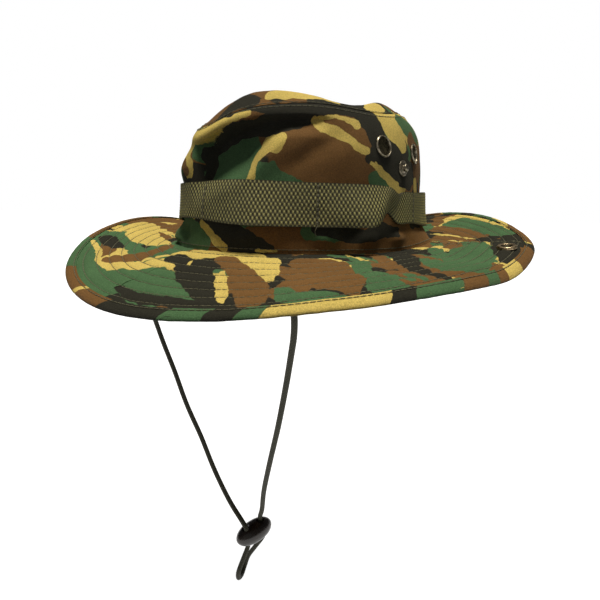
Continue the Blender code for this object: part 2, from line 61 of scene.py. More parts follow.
# The hat's own sizes. They are the CAD's, but the brim's layers lie closer together and the binding
# and the vents' rims are slimmer.
HALF_WIDTH = 0.084
HALF_LENGTH = 0.100
BRIM_WIDTH = 0.069
BRIM_LIFT = 0.0010
BRIM_WAVES = ((-0.0043, 0.0157), (0.0026, 0.0107), (-0.0038, -0.0064))
LIP = 0.0006
LIP_LEFT = 0.0056
LIP_ANGLE = math.radians(-2)
LIP_SPREAD = math.radians(30)
LIP_WIDTH = 0.014
PLY = 0.0006
INTERLINING = 0.0005
GAP = 0.0003
BRIM_INNER = 0.0005
BINDING = 0.0004
BINDING_WIDTH = 0.0060
BINDING_GAP = 0.0001
CLOTH_THICK = 2 * PLY + INTERLINING  # pressed flat; the CAD leaves gaps between its layers
BRIM_THICK = 0.0026
FOLD_NORMAL = {"left": math.radians(17), "right": math.radians(180)}
WALL = 0.0010
WALL_TOP = 0.080
BAND_LOW = 0.0150
BAND_HIGH = 0.0386
BAND = 0.0012
TACKS = 8
FIRST_TACK = -41  # degrees
SWEATBAND_HEIGHT = 0.032
SWEATBAND = 0.0010
SEAM_TAPE = 0.0007
TAPE_GAP = 0.0012
VENT_RADIUS = 0.0064
VENT_BORE = 0.0053
CAP_RADIUS = 0.0048
SNAP_ANGLE = {"left": math.radians(8), "right": math.radians(180)}
SNAP_OUT = 0.0552
CORD = 0.0036
TAB_ANGLES = {"left": math.radians(-50), "right": math.radians(-130)}
TAB_OUT = (0.004, 0.018)
TAB_HALF_ANGLE = math.radians(3.6)
TAB = 0.0038
TAB_GAP = 0.0008
TAB_EXIT = 0.0011
SLIDER_CENTRE = Vector((0.004, -0.060, -0.221))
SLIDER_TURN = math.radians(78)
SLIDER_TILT = math.radians(8)
SLIDER_HOLE_OUT = 0.0067
SLIDER_BORE = 0.0024
SLIDER_HALF = (0.0150, 0.0082, 0.0080)
RIGHT_STRAND = (
    (-0.0720, -0.0940, -0.0055),
    (-0.0775, -0.0965, -0.0100),
    (-0.0820, -0.0960, -0.0200),
    (-0.0850, -0.0930, -0.0340),
    (-0.0860, -0.0885, -0.0500),
    (-0.0843, -0.0845, -0.0670),
    (-0.0775, -0.0827, -0.0830),
    (-0.0670, -0.0804, -0.1040),
    (-0.0558, -0.0780, -0.1285),
    (-0.0423, -0.0745, -0.1530),
    (-0.0300, -0.0718, -0.1770),
    (-0.0145, -0.0695, -0.1980),
)
TAIL_LOOP = (
    (0.0020, -0.0700, -0.2420),
    (0.0010, -0.0735, -0.2510),
    (-0.0010, -0.0720, -0.2590),
    (-0.0040, -0.0665, -0.2625),
    (-0.0070, -0.0605, -0.2600),
    (-0.0060, -0.0575, -0.2520),
    (-0.0010, -0.0545, -0.2420),
)
LEFT_STRAND = (
    (0.0130, -0.0600, -0.1960),
    (0.0236, -0.0678, -0.1700),
    (0.0370, -0.0750, -0.1380),
    (0.0495, -0.0804, -0.1060),
    (0.0600, -0.0852, -0.0760),
    (0.0687, -0.0902, -0.0520),
    (0.0730, -0.0930, -0.0400),
    (0.0755, -0.0955, -0.0300),
    (0.0745, -0.0960, -0.0215),
    (0.0712, -0.0935, -0.0160),
)

# How the soft hat hangs and is sewn
SLUMP = 0.0085  # how far the crown's front right edge has sunk
ROLL = 0.0064  # height of the roll of cloth that hangs over there
QUILT_FIRST = 0.0096  # the outermost row of brim stitching, from the edge
QUILT_STEP = 0.0074
QUILT_ROWS = 8
QUILT_DEEP = 0.00060
CROWN_TUCK = 0.0024  # how far the wall's cloth goes down behind the brim's inner edge
TOP_MIDDLE = 0.0870  # height of the slack middle of the crown's top
HOLLOW = 0.0125  # how far the wall has caved in under the roll
STITCH = 0.0031
THREAD = 0.00020
WEAVE_ALONG = 0.0024  # webbing: from knot to knot in one row
WEAVE_ACROSS = 0.0019  # from row to row
# Where the crown's wall bulges (or sinks in): direction and half width in degrees, height, half
# height, how far out
BULGES = (
    (-105, 9, 0.047, 0.010, 0.0034),
    (-122, 20, 0.068, 0.012, -0.0042),
    (28, 30, 0.080, 0.014, 0.0042),
    (-105, 5.5, 0.008, 0.005, -0.0032),
    (-37, 4, 0.008, 0.004, 0.0022),
    (-21, 4, 0.008, 0.004, 0.0032),
    (-6, 4, 0.008, 0.004, 0.0024),
    (-67, 4, 0.008, 0.004, 0.0012),
    (-28, 6, 0.010, 0.005, -0.0026),
)
# Where the whole wall stands out: direction and half width in degrees, how far
SWAY = ((30, 25, -0.0034), (-130, 22, -0.0026), (-32, 14, 0.0018))

# Camouflage, and on the crown some painted shadow in black: strokes of one colour over the last, each through (angle in
# degrees, mm, radius in mm).
# The second number is the height on the crown, and on the brim the distance out from the crown.
CROWN_PAINT = (
    ("green", (-150, 8, 12), (-120, 7, 14), (-100, 7, 12), (-88, 5, 9)),
    ("green", (-92, 60, 10), (-80, 58, 15), (-72, 54, 14), (-68, 44, 8)),
    ("green", (-88, 46, 8), (-80, 40, 8), (-72, 40, 8)),
    ("green", (-64, 40, 9), (-54, 42, 8), (-48, 36, 8), (-40, 34, 8)),
    ("brown", (-50, 66, 10), (-42, 62, 15), (-30, 60, 15), (-24, 60, 12)),
    ("brown", (-54, 60, 4.5), (-53, 51, 5.5), (-47, 48, 8), (-34, 48, 12), (-25, 47, 10)),
    ("black", (-75, 74, 1.6), (-68, 79, 3), (-60, 80, 6), (-50, 80, 7), (-40, 82, 6.5), (-30, 82, 6)),
    ("black", (-30, 82, 5), (-24, 80, 5), (-19, 74, 6), (-16, 66, 6.5), (-14, 57, 8),
     (-7, 50, 9), (2, 47, 9)),
    ("black", (-21.5, 53, 2.6), (-19, 56, 5)),
    ("green", (2, 80, 5), (8, 76, 5)),
    ("brown", (8, 70, 5), (13, 62, 6), (22, 60, 9)),
    ("tan", (-11, 84, 4.5), (-8, 77, 6.5), (-4, 70, 6.5), (-1, 63, 4.5)),
    ("green", (-19, 42, 4.5), (-13, 38.5, 4)),
    ("tan", (-20.5, 50.5, 1.2), (-16, 47.5, 2.2), (-12, 43, 2.8), (-7, 39.5, 3.5)),
    ("tan", (11, 43, 4), (12, 37, 4)),
    ("tan", (-58.5, 62, 5), (-60, 58, 4.5), (-62, 54, 3.2), (-64.5, 49, 2.5), (-65, 44, 2.4),
     (-66, 38, 2.6)),
    ("tan", (-55, 62, 3.6), (-56.5, 57, 3.6)),
    # Partly the cloth's black, partly painted shadow: black along under the front roll's lip, in the hollow it shades
    ("black", (-91, 56, 2.6), (-84, 61.5, 2.4), (-76, 67, 2.8), (-68, 68, 4), (-60, 69, 5),
     (-50, 72, 5.5), (-44, 76, 5)),
    ("tan", (-43, 72.5, 2.2), (-39.5, 68, 3.1), (-34, 66, 2.9), (-30, 62, 2.4),
     (-27, 59, 2.6), (-22.8, 57.2, 2.8)),
    ("tan", (-41, 73.4, 1.8), (-35, 74.2, 1.4), (-30, 73, 1.8), (-26, 71, 2.6)),
    ("tan", (-112, 56, 6), (-104, 60, 6), (-98, 65, 6), (-91, 67.5, 6.5), (-83, 70, 5),
     (-76, 72.5, 3), (-69, 75, 1.5)),
    ("black", (-81, 77, 2.6), (-77, 75.5, 2.6)),
    ("tan", (-112, 66, 9), (-106, 56, 7), (-99, 50, 5), (-98, 44, 3.5)),
    ("brown", (-104, 51, 3), (-100, 46, 3)),
    ("green", (-110, 44, 3), (-106, 41.5, 2.5)),
    # Partly the cloth's black, partly painted shadow: a black column down the hollow's steep left side
    ("black", (-91.5, 57, 2.4), (-91, 50, 2.5), (-90.5, 44, 2.5), (-90.5, 39, 3)),
    ("black", (-101, 38.5, 2.5), (-92, 39, 3.5)),
    ("brown", (-61, 9, 5), (-52, 9, 6), (-46, 8, 5)),
    ("green", (-44, 12, 5), (-36, 13, 6), (-28, 12, 5)),
    ("black", (-40, 14, 4), (-28, 11, 4.5), (-22, 9, 4), (-14, 13, 4.5), (-7, 12, 3.5)),
    ("brown", (-52, 2, 4), (-40, 2.5, 4), (-28, 2, 3.5), (-14, 3.5, 5), (0, 5, 5), (20, 7, 6)),
    ("brown", (-4, 11, 3), (14, 10, 4)),
    ("black", (-79, 12, 7), (-72, 8, 8), (-65, 5, 6), (-57, 2, 2)),
    ("tan", (-88, 15, 2.6), (-82.5, 9, 2.6), (-76, 2, 3.2)),
    ("tan", (-62, 1.6, 1.1), (-55, 0.6, 1.1)),
)
TOP_PAINT = (
    ("brown", (-130, 8, 9), (-104, 5, 6), (-90, 5, 5)),
    ("black", (-84, 4, 6), (-78, 10, 9), (-70, 4, 4)),
    ("brown", (-73, 18, 7), (-66, 12, 6)),
    ("tan", (-62, 10, 5.5), (-54, 10, 7), (-46, 11, 7), (-38, 16, 6)),
    ("brown", (-57, 1, 1.6), (-52, 3, 2), (-47, 2, 2)),
    ("black", (-44, 2, 2.5), (-36, 4, 4.5), (-26, 7, 4)),
    ("tan", (-37, 10, 2.4), (-32, 9, 2.4)),
    ("tan", (-12, 4, 6), (-4, 11, 7)),
)
BRIM_PAINT = (
    ("brown", (-170, 30, 18), (-156, 22, 14), (-150, 60, 10)),
    ("green", (-130, 62, 7), (-118, 61, 8), (-106, 58, 9), (-98, 60, 9), (-86, 54, 9),
     (-78, 50, 8), (-76, 62, 6)),
    ("tan", (-124, 14, 9), (-131, 25, 12), (-137, 34, 13), (-146, 44, 10)),
    ("tan", (-143, 53, 7), (-150, 47, 8), (-148, 36, 9)),
    ("green", (-90, 45, 7), (-81, 45, 7)),
    ("brown", (-157, 31, 8), (-152, 35, 4)),
    ("brown", (-165, 52, 9), (-150, 63, 6)),
    ("black", (-131, 55, 5), (-127, 49, 6), (-122, 41, 4.5)),
    ("tan", (-127.5, 61, 2), (-120, 52.5, 2.4), (-112, 49.5, 2.4), (-106, 47.5, 2)),
    ("brown", (-110, 41, 6), (-107, 27, 8), (-109, 14, 6), (-118, 4, 4)),
    ("green", (-132, 2, 5), (-124, 2, 5), (-116, 1, 4)),
    ("green", (-107, 59, 7), (-98, 53, 9), (-92, 42, 10), (-88, 31, 7), (-80, 36, 8),
     (-71, 48, 5), (-68, 55, 3)),
    ("green", (-104, 63, 4), (-92, 62, 5), (-84, 62, 4)),
    ("brown", (-46, 14, 9), (-40, 22, 11), (-38, 44, 7), (-40, 56, 4), (-47, 36, 9), (-51, 48, 9)),
    ("tan", (-103, 42, 1.6), (-101.5, 34, 1.4), (-102, 24, 2.6), (-99, 16, 2.4),
     (-93, 7, 3.6), (-82, 5, 6), (-72, 2, 6), (-64, 5, 8)),
    ("tan", (-62, 8, 8), (-58, 14, 9.5), (-56, 25, 7), (-56, 33, 4)),
    ("brown", (-74, 10, 3.5), (-69, 12, 5.5), (-64, 21, 6), (-60, 33, 6), (-58, 43, 8), (-57, 54, 7)),
    ("black", (-93, 15, 5), (-86, 15, 4.5), (-75, 27, 9), (-70, 38, 7.5), (-66, 50, 4.6),
     (-65, 56, 4.2)),
    ("black", (-77, 17, 5.5), (-74, 23, 6)),
    ("tan", (-82.5, 15, 1.6), (-82, 18, 1.6)),
    ("tan", (-68, 24, 1.8), (-66, 34, 3.2), (-64, 42, 3.6), (-63, 50, 3.2), (-62, 56, 1.4)),
    ("black", (-89, 50, 2.6), (-84, 52, 3.4), (-78, 54, 4), (-73, 53, 2.8), (-68, 56, 4),
     (-64, 59, 5), (-61, 58, 4)),
    ("black", (-87, 58, 3.5), (-82, 61, 3.5), (-76, 64, 3), (-66, 65, 3)),
    ("green", (-74.5, 60, 2.6), (-70, 60.5, 2.4)),
    ("green", (-52, 46, 4.3), (-51, 53, 6), (-48, 56, 6), (-45, 58, 4.5), (-42, 61, 2.5)),
    ("green", (-36, 3, 2.5), (-30, 10, 4), (-32, 26, 4.5), (-34, 36, 4.5), (-32, 46, 7),
     (-35, 57, 6.5), (-30, 55, 6)),
    ("tan", (-30, 4, 2), (-28, 16, 2)),
    ("brown", (-22, 6, 5), (-22, 14, 4), (-25, 30, 4), (-25.5, 45, 3)),
    ("brown", (-30, 53, 1.2), (-29.5, 59, 2.2), (-26, 62, 2.8), (-22, 63, 2.4)),
    ("green", (-27, 49, 2.6), (-26, 56, 2.4)),
    ("green", (-13, 32, 7), (-16, 48, 9), (-11, 54, 9), (4, 42, 10), (20, 28, 9), (15, 9, 6)),
    ("black", (-16, 4, 6), (-15, 18, 7.5), (-22, 38, 5), (-23.5, 52, 3.2), (-21.5, 60, 3)),
    ("green", (60, 42, 11), (49, 46, 11), (34, 54, 9)),
    ("green", (6, 13, 4), (-1, 22, 6), (-4, 36, 8), (-11, 48, 8), (6, 32, 8), (17, 32, 6)),
    ("brown", (31, 12, 4), (21, 16, 6.5), (11, 23, 6)),
    ("brown", (62, 28, 6), (46, 33, 7), (34, 40, 5)),
    ("tan", (58, 18, 1.6), (49, 21, 1.7), (39, 27, 1.8), (30, 35, 1.2)),
    ("black", (27, 40, 5), (18, 50, 7.5), (4, 58, 7), (-1, 61, 4)),
    ("brown", (-20, 65, 3), (-14, 66, 3), (-8, 66, 3)),
    ("tan", (-4, 66, 2.6), (2, 66.5, 2.6)),
    ("tan", (52, 66, 4), (40, 67, 3)),
)
BINDING_PAINT = (
    ("brown", -160, -130),
    ("green", -130, -111),
    ("brown", -111, -98),
    ("tan", -98, -96),
    ("brown", -96, -86.5),
    ("black", -86.5, -71.5),
    ("green", -71.5, -63.5),
    ("black", -63.5, -58.5),
    ("green", -58.5, -54.5),
    ("tan", -54.5, -34.5),
    ("black", -34.5, -30),
    ("green", -30, -20),
    ("brown", -20, -13.5),
    ("green", -13.5, -9.5),
    ("brown", -9.5, -6),
    ("tan", -6, 1),
    ("brown", 1, 13),
)
PALETTE = {
    "tan": (0.66, 0.50, 0.130),
    "green": (0.068, 0.145, 0.060),
    "brown": (0.175, 0.088, 0.027),
    "black": (0.023, 0.022, 0.015),
}


# Small mathematics


def smooth(t):
    t = np.clip(t, 0.0, 1.0)
    return t * t * (3 - 2 * t)


def gauss(t):
    return np.exp(-np.square(t))


def turn_from(angle, degrees):
    """How far an angle is from a direction given in degrees, the short way round, in degrees."""
    return (np.degrees(angle) - degrees + 180) % 360 - 180


def bump(angle, degrees, width):
    """1 at that direction, falling away to either side of it."""
    return gauss(turn_from(angle, degrees) / width)


def hashed(cell, seed):
    """An even random number from -1 to 1 for each whole-number cell."""
    weights = np.array([374761393, 668265263, 1274126177], np.int64)
    value = (cell * weights).sum(-1) + seed * 1013904223
    with np.errstate(over="ignore"):
        value = (value ^ (value >> 13)) * 1274126177 & 0xFFFFFFFF
    value = (value ^ (value >> 16)) & 0xFFFF
    return value / 32767.5 - 1


def noise(points, size, seed):
    """Smooth noise from -1 to 1, with bumps about that size across."""
    place = np.asarray(points) / size
    low = np.floor(place).astype(np.int64)
    part = smooth(place - low)
    total = np.zeros(place.shape[:-1])
    for corner in range(8):
        pick = np.array([corner & 1, corner >> 1 & 1, corner >> 2 & 1])
        weight = np.where(pick, part, 1 - part).prod(-1)
        total += weight * hashed(low + pick, seed)
    return total


def rough(points, size, seed, layers=3):
    """Noise with finer and finer noise on it."""
    return sum(noise(points, size / 2**i, seed + i) / 2**i for i in range(layers)) / 1.6


def flat(points):
    """Plane points as points in space, for noise."""
    return np.concatenate([points, np.zeros(points.shape[:-1] + (1,))], -1)


# The hat's surfaces


def ellipse(angle):
    return np.stack([HALF_WIDTH * np.cos(angle), HALF_LENGTH * np.sin(angle)], -1)


def outward(angle):
    normal = np.stack([np.cos(angle) / HALF_WIDTH, np.sin(angle) / HALF_LENGTH], -1)
    return normal / np.linalg.norm(normal, axis=-1, keepdims=True)


def edge_height(angle):
    waves = sum(c * np.cos(n * angle) + s * np.sin(n * angle) for n, (c, s) in enumerate(BRIM_WAVES, 1))
    return BRIM_LIFT + waves


def reach(angle):
    return np.sqrt(BRIM_WIDTH**2 - edge_height(angle) ** 2)


def lip(angle):
    turn = np.radians(turn_from(angle, math.degrees(LIP_ANGLE)))
    return LIP + LIP_LEFT * gauss(turn / LIP_SPREAD)


def flare(angle, out):
    """How far the crown's foot and the brim beside it stand out and up at the wearer's left."""
    return 0.0050 * bump(angle, 22, 17) * np.clip(1 - out / 0.045, 0, 1) ** 2


def quilted(angle, out):
    """The brim's small relief: stitched rows, the cloth between them, puckers and the side seam."""
    row = (reach(angle) - QUILT_FIRST - out) / QUILT_STEP
    near = np.clip(np.round(row), 0, QUILT_ROWS - 1)
    relief = -QUILT_DEEP * gauss((row - near) * QUILT_STEP / 0.0008)
    between = (row > 0) & (row < QUILT_ROWS - 1)
    relief += 0.00022 * np.where(between, np.sin(np.pi * row) ** 2, 0)
    along = np.stack([angle * 0.14, row * QUILT_STEP * 0.45, 0 * angle], -1)
    relief += 0.00030 * rough(along, 0.0042, 11, 2)
    relief += slow_waves(angle, out)
    for side, normal in FOLD_NORMAL.items():
        across = np.radians(turn_from(angle, math.degrees(normal))) * (0.095 + out)
        relief += 0.00040 * gauss((np.abs(across) - 0.0022) / 0.0016) - 0.0006 * gauss(across / 0.0006)
    return relief


def plan(angle, out):
    return ellipse(angle) + outward(angle) * (out + flare(angle, out))[..., None]


def brim(angle, out, below=0.0, relief=True):
    """A point on the brim's top face, or the given depth below it."""
    angle, out = np.broadcast_arrays(np.asarray(angle, float), np.asarray(out, float))
    share = out / reach(angle)
    curl = np.maximum(0.0, (out - reach(angle) + LIP_WIDTH) / LIP_WIDTH) ** 2
    height = (edge_height(angle) + lip(angle)) * share - lip(angle) * curl
    height = height + 0.9 * flare(angle, out) - below
    if relief:
        height = height + quilted(angle, out)
    return np.concatenate([plan(angle, out), height[..., None]], -1)


def wall_scale(height):
    return 1 - 0.9 * height - 120 * np.maximum(0.0, height - 0.052) ** 2


def seam_height(angle):
    """The crown's upper seam: sunk at the front right, level elsewhere."""
    risen = 0.0088 * bump(angle, 22, 25) + 0.0015 * bump(angle, -45, 18)
    return WALL_TOP - SLUMP * bump(angle, -96, 20) + risen


def lip_height(angle):
    """Where the cloth that hangs over the front of the crown folds back in."""
    return seam_height(angle) - ROLL - 0.0040 * bump(angle, -92, 16)


def slouch(angle, height):
    """How far the soft wall stands out from its plain shape."""
    # A roll of cloth hangs over a hollow at the front
    lip_at = lip_height(angle)
    below = lip_at - height
    deep = HOLLOW * smooth(turn_from(angle, -95.5) / 6.5) * smooth(-turn_from(angle, -32) / 18)
    deep = deep * (0.42 + 0.58 * smooth(-turn_from(angle, -54) / 20))
    reached = 0.010 + 0.018 * smooth(-turn_from(angle, -50) / 20)
    hollow = deep * smooth(below / 0.0030) * (1 - smooth((below - 0.35 * reached) / reached))
    roll = 0.0040 * bump(angle, -80, 30) * gauss((height - lip_at - 0.0034) / 0.0050)
    # The foot spreads at the front right, and the webbing holds the wall in above it
    foot = 0.0052 * bump(angle, -130, 20) * smooth(height / 0.005) * (1 - smooth((height - 0.007) / 0.010))
    held = 0.0026 * bump(angle, -136, 24) * (1 - smooth((height - 0.036) / 0.012)) * smooth(height / 0.012)
    push = roll - hollow + foot - held
    for degrees, width, middle, spread, far in BULGES:
        push = push + far * bump(angle, degrees, width) * gauss((height - middle) / spread)
    for degrees, width, far in SWAY:
        push = push + far * bump(angle, degrees, width) * smooth(height / 0.028)
    fold = height - 0.052 - 0.0009 * turn_from(angle, -46)
    push = push - 0.0018 * gauss(fold / 0.0065) * bump(angle, -42, 12)
    # Soft dents, least round the metal, then crumpled cloth at the foot, then small wrinkles
    place = np.concatenate([ellipse(angle), np.asarray(height)[..., None]], -1)
    metal_at = np.maximum(bump(angle, -3, 16), bump(angle, 180, 16)) * smooth((height - 0.03) / 0.01)
    push = push + 0.0013 * (1 - 0.75 * metal_at) * rough(place, 0.034, 21, 2) * smooth(height / 0.012)
    crumple = rough(place * (1, 1, 0.7), 0.013, 26, 2) * bump(angle, -60, 75)
    push = push + 0.0020 * crumple * gauss((height - 0.008) / 0.006)
    return push + 0.00022 * rough(place, 0.007, 24, 2)


def wall(angle, height, off=0.0):
    """A point on the crown wall's outer face, or that far outside it."""
    angle, height = np.broadcast_arrays(np.asarray(angle, float), np.asarray(height, float))
    foot = np.clip(1 - height / 0.016, 0, 1)
    tuck = 0.0011 * gauss((height - seam_height(angle)) / 0.0011)
    push = slouch(angle, height) + flare(angle, 0.0) * foot**2 + off - tuck
    place = ellipse(angle) * wall_scale(height)[..., None] + outward(angle) * push[..., None]
    rise = height + 0.9 * flare(angle, 0.0) * foot
    return np.concatenate([place, rise[..., None]], -1)


def top_height(angle, ring):
    """The soft top: a shoulder that swells most at the front, round a slack middle."""
    swell = 0.0045 + 0.0115 * bump(angle, -92, 32) + 0.0030 * bump(angle, -55, 22)
    swell = swell + 0.0033 * bump(angle, 5, 32)
    shoulder = seam_height(angle) + swell * smooth((1 - ring) / 0.24) ** 0.7
    blend = smooth((0.78 - ring) / 0.7)
    return shoulder * (1 - blend) + TOP_MIDDLE * blend


def crown_top_point(angle, ring, off=0.0):
    angle, ring = np.broadcast_arrays(np.asarray(angle, float), np.asarray(ring, float))
    edge = wall(angle, seam_height(angle))[..., :2]
    place = edge * ring[..., None]
    height = top_height(angle, ring) + 0.0004 + off
    height = height + 0.0012 * rough(flat(place), 0.034, 31, 2) * smooth((1 - ring) / 0.2)
    height = height + 0.0002 * rough(flat(place), 0.007, 33, 2)
    return np.concatenate([place, height[..., None]], -1)


def frame_at(surface, angle, second, step):
    """A matrix whose origin is on a surface and whose Z axis is its outward normal."""
    centre = surface(angle, second)
    one = surface(angle + 0.01, second) - surface(angle - 0.01, second)
    two = surface(angle, second + step) - surface(angle, second - step)
    normal = Vector(np.cross(one, two))
    if normal.dot(Vector((math.cos(angle), math.sin(angle), 0.5))) < 0:
        normal = -normal
    turn = normal.normalized().to_track_quat("Z", "Y").to_matrix().to_4x4()
    return Matrix.Translation(Vector(centre)) @ turn


# Camouflage


def cover(fields, colour, distance):
    """Lays one colour over the others where distance, in mm, is above 0."""
    for name in fields:
        if name == colour:
            fields[name] = np.maximum(fields[name], distance)
        else:
            fields[name] = np.minimum(fields[name], -distance)


def camouflage(places, strokes=(), seed=0):
    """How far each point is inside each colour, in mm: strokes over a random pattern. Places are in mm."""
    warp = np.stack([rough(places, 9, seed + 41), rough(places, 9, seed + 45)], -1) * 1.5
    fine = np.stack([noise(places, 2.2, seed + 49), noise(places, 2.2, seed + 50)], -1) * 0.35
    moved = places[..., :2] + warp + fine
    stretched = flat(moved * (0.72, 1.0))
    fields = {name: np.full(moved.shape[:-1], -99.0) for name in PALETTE}
    fields["tan"] += 198
    for name, size, level, number in (("green", 30, 0.10, 1), ("brown", 27, 0.12, 2), ("black", 20, 0.26, 3)):
        pattern = noise(stretched + 13.7 * number, size, seed + number)
        pattern = pattern + 0.35 * noise(stretched, size / 3, seed + 7 * number)
        cover(fields, name, (pattern - level + 0.18) * size * 0.5 - 1.5)
    for name, points in strokes:
        best = np.full(moved.shape[:-1], 1e9)
        for start, stop in zip(points, points[1:]):
            line = stop[:2] - start[:2]
            t = np.clip(((moved - start[:2]) @ line) / max(line @ line, 1e-9), 0, 1)
            away = np.linalg.norm(moved - start[:2] - t[..., None] * line, axis=-1)
            best = np.minimum(best, away - start[2] - t * (stop[2] - start[2]))
        cover(fields, name, -best)
    return {name: np.clip(field, -9, 9) for name, field in fields.items()}


def wall_map(angle, height):
    """The crown wall laid out flat, in mm."""
    turn = turn_from(angle, -60)
    return flat(np.stack([turn * 1.60 * wall_scale(height), 1000 * height], -1))


def brim_map(angle, out):
    return flat(1000 * (ellipse(angle) + outward(angle) * np.asarray(out)[..., None]))


def laid_out(paint, layout):
    """Strokes with their points moved onto the flat layout."""
    strokes = []
    for name, *points in paint:
        placed = []
        for degrees, distance, radius in points:
            spot = layout(np.array(math.radians(degrees)), np.array(distance / 1000))
            placed.append(np.array([spot[0], spot[1], radius]))
        strokes.append((name, placed))
    return strokes


# Making meshes


def build(name, points, faces, surface, marks=None, sharp=50):
    mesh = bpy.data.meshes.new(name)
    mesh.from_pydata(points.tolist(), [], faces)
    for mark, values in (marks or {}).items():
        attribute = mesh.attributes.new(mark, "FLOAT", "POINT")
        attribute.data.foreach_set("value", np.asarray(values, np.float32).ravel())
    mesh.materials.append(surface)
    mesh.shade_smooth()
    mesh.set_sharp_from_angle(angle=math.radians(sharp))
    piece = bpy.data.objects.new(name, mesh)
    bpy.context.scene.collection.objects.link(piece)
    return piece


def normals_of(grid, ring):
    """The direction that each point of a grid faces."""
    before, after = (grid[:, -1:], grid[:, :1]) if ring else (grid[:, :1], grid[:, -1:])
    wide = np.concatenate([before, grid, after], 1)
    across = wide[:, 2:] - wide[:, :-2]
    down = np.gradient(grid, axis=0)
    normal = np.cross(down, across)
    return normal / np.maximum(np.linalg.norm(normal, axis=-1, keepdims=True), 1e-12)


def shell(name, grid, thick, surface, ring=False, pole=False, marks=None, under=None):
    """A closed sheet. Its outer face is a grid of points, whose second axis may close into a ring."""
    rows, columns = grid.shape[:2]
    inner = grid - normals_of(grid, ring) * thick if under is None else under
    points = np.concatenate([grid.reshape(-1, 3), inner.reshape(-1, 3)])
    layer = rows * columns
    index = np.arange(layer).reshape(rows, columns)
    across = np.roll(index, -1, 1) if ring else index[:, 1:]
    here = index if ring else index[:, :-1]
    quads = np.stack([here[:-1], here[1:], across[1:], across[:-1]], -1).reshape(-1, 4)
    faces = quads.tolist() + (quads[:, ::-1] + layer).tolist()
    rims = [(here[0], across[0])]
    if not pole:
        rims.append((across[-1], here[-1]))
    if not ring:
        rims += [(index[1:, 0], index[:-1, 0]), (index[:-1, -1], index[1:, -1])]
    for one, two in rims:
        faces += np.stack([one, two, two + layer, one + layer], -1).tolist()
    values = {mark: np.concatenate([v.ravel(), v.ravel()]) for mark, v in (marks or {}).items()}
    if pole:
        points = np.concatenate([points, grid[-1].mean(0)[None], inner[-1].mean(0)[None]])
        top, bottom = 2 * layer, 2 * layer + 1
        last = list(zip(here[-1].tolist(), across[-1].tolist()))
        faces += [(a, top, b) for a, b in last] + [(b + layer, bottom, a + layer) for a, b in last]
        values = {mark: np.append(v, [v[layer - 1]] * 2) for mark, v in values.items()}
    return build(name, points, faces, surface, values)


def filleted(profile, radius, steps=3):
    """The profile with its corners rounded off."""
    made = [profile[0]]
    for before, corner, after in zip(profile, profile[1:], profile[2:]):
        before, corner, after = (np.array(p, float) for p in (before, corner, after))
        ins, outs = before - corner, after - corner
        cut_in = corner + ins * min(0.45, radius / max(np.linalg.norm(ins), 1e-9))
        cut_out = corner + outs * min(0.45, radius / max(np.linalg.norm(outs), 1e-9))
        for i in range(steps + 1):
            t = i / steps
            made.append(tuple((1 - t) ** 2 * cut_in + 2 * t * (1 - t) * corner + t * t * cut_out))
    return made + [profile[-1]]


def turned(name, profile, place, surface, radius=0.00018, segments=48):
    """A profile of (radius, height) points turned round place's Z axis; it may start and end on it."""
    closed = profile[0][0] > 0
    if closed:
        middle = tuple((np.array(profile[0]) + np.array(profile[-1])) / 2)
        profile = filleted((middle, *profile, middle), radius)[:-1]
    else:
        profile = filleted(profile, radius)
    points, rows = [], []
    for distance, height in profile:
        count = segments if distance > 0 else 1
        rows.append([len(points) + i for i in range(count)])
        for i in range(count):
            angle = 2 * math.pi * i / segments
            points.append(place @ Vector((distance * math.cos(angle), distance * math.sin(angle), height)))
    pairs = list(zip(rows, rows[1:])) + ([(rows[-1], rows[0])] if closed else [])
    faces = []
    for low, high in pairs:
        for i in range(segments):
            k = (i + 1) % segments
            corners = (low[i % len(low)], low[k % len(low)], high[k % len(high)], high[i % len(high)])
            faces.append(tuple(dict.fromkeys(corners)))
    piece = build(name, np.array([tuple(p) for p in points]), faces, surface, sharp=60)
    outward_facing(piece)
    return piece


def cut(piece, profiles, places):
    """Takes turned shapes out of a piece."""
    for number, (profile, place) in enumerate(zip(profiles, places)):
        drill = turned(f"drill_{number}", profile, place, piece.data.materials[0], 0.0004)
        hole = piece.modifiers.new("hole", "BOOLEAN")
        hole.operation, hole.solver, hole.object = "DIFFERENCE", "EXACT", drill
    made = bpy.data.meshes.new_from_object(piece.evaluated_get(bpy.context.evaluated_depsgraph_get()))
    for hole in list(piece.modifiers):
        bpy.data.objects.remove(hole.object)
        piece.modifiers.remove(hole)
    piece.data = made
    made.shade_smooth()
    made.set_sharp_from_angle(angle=math.radians(50))


def outward_facing(piece):
    shape = bmesh.new()
    shape.from_mesh(piece.data)
    bmesh.ops.recalc_face_normals(shape, faces=shape.faces)
    shape.to_mesh(piece.data)
    shape.free()


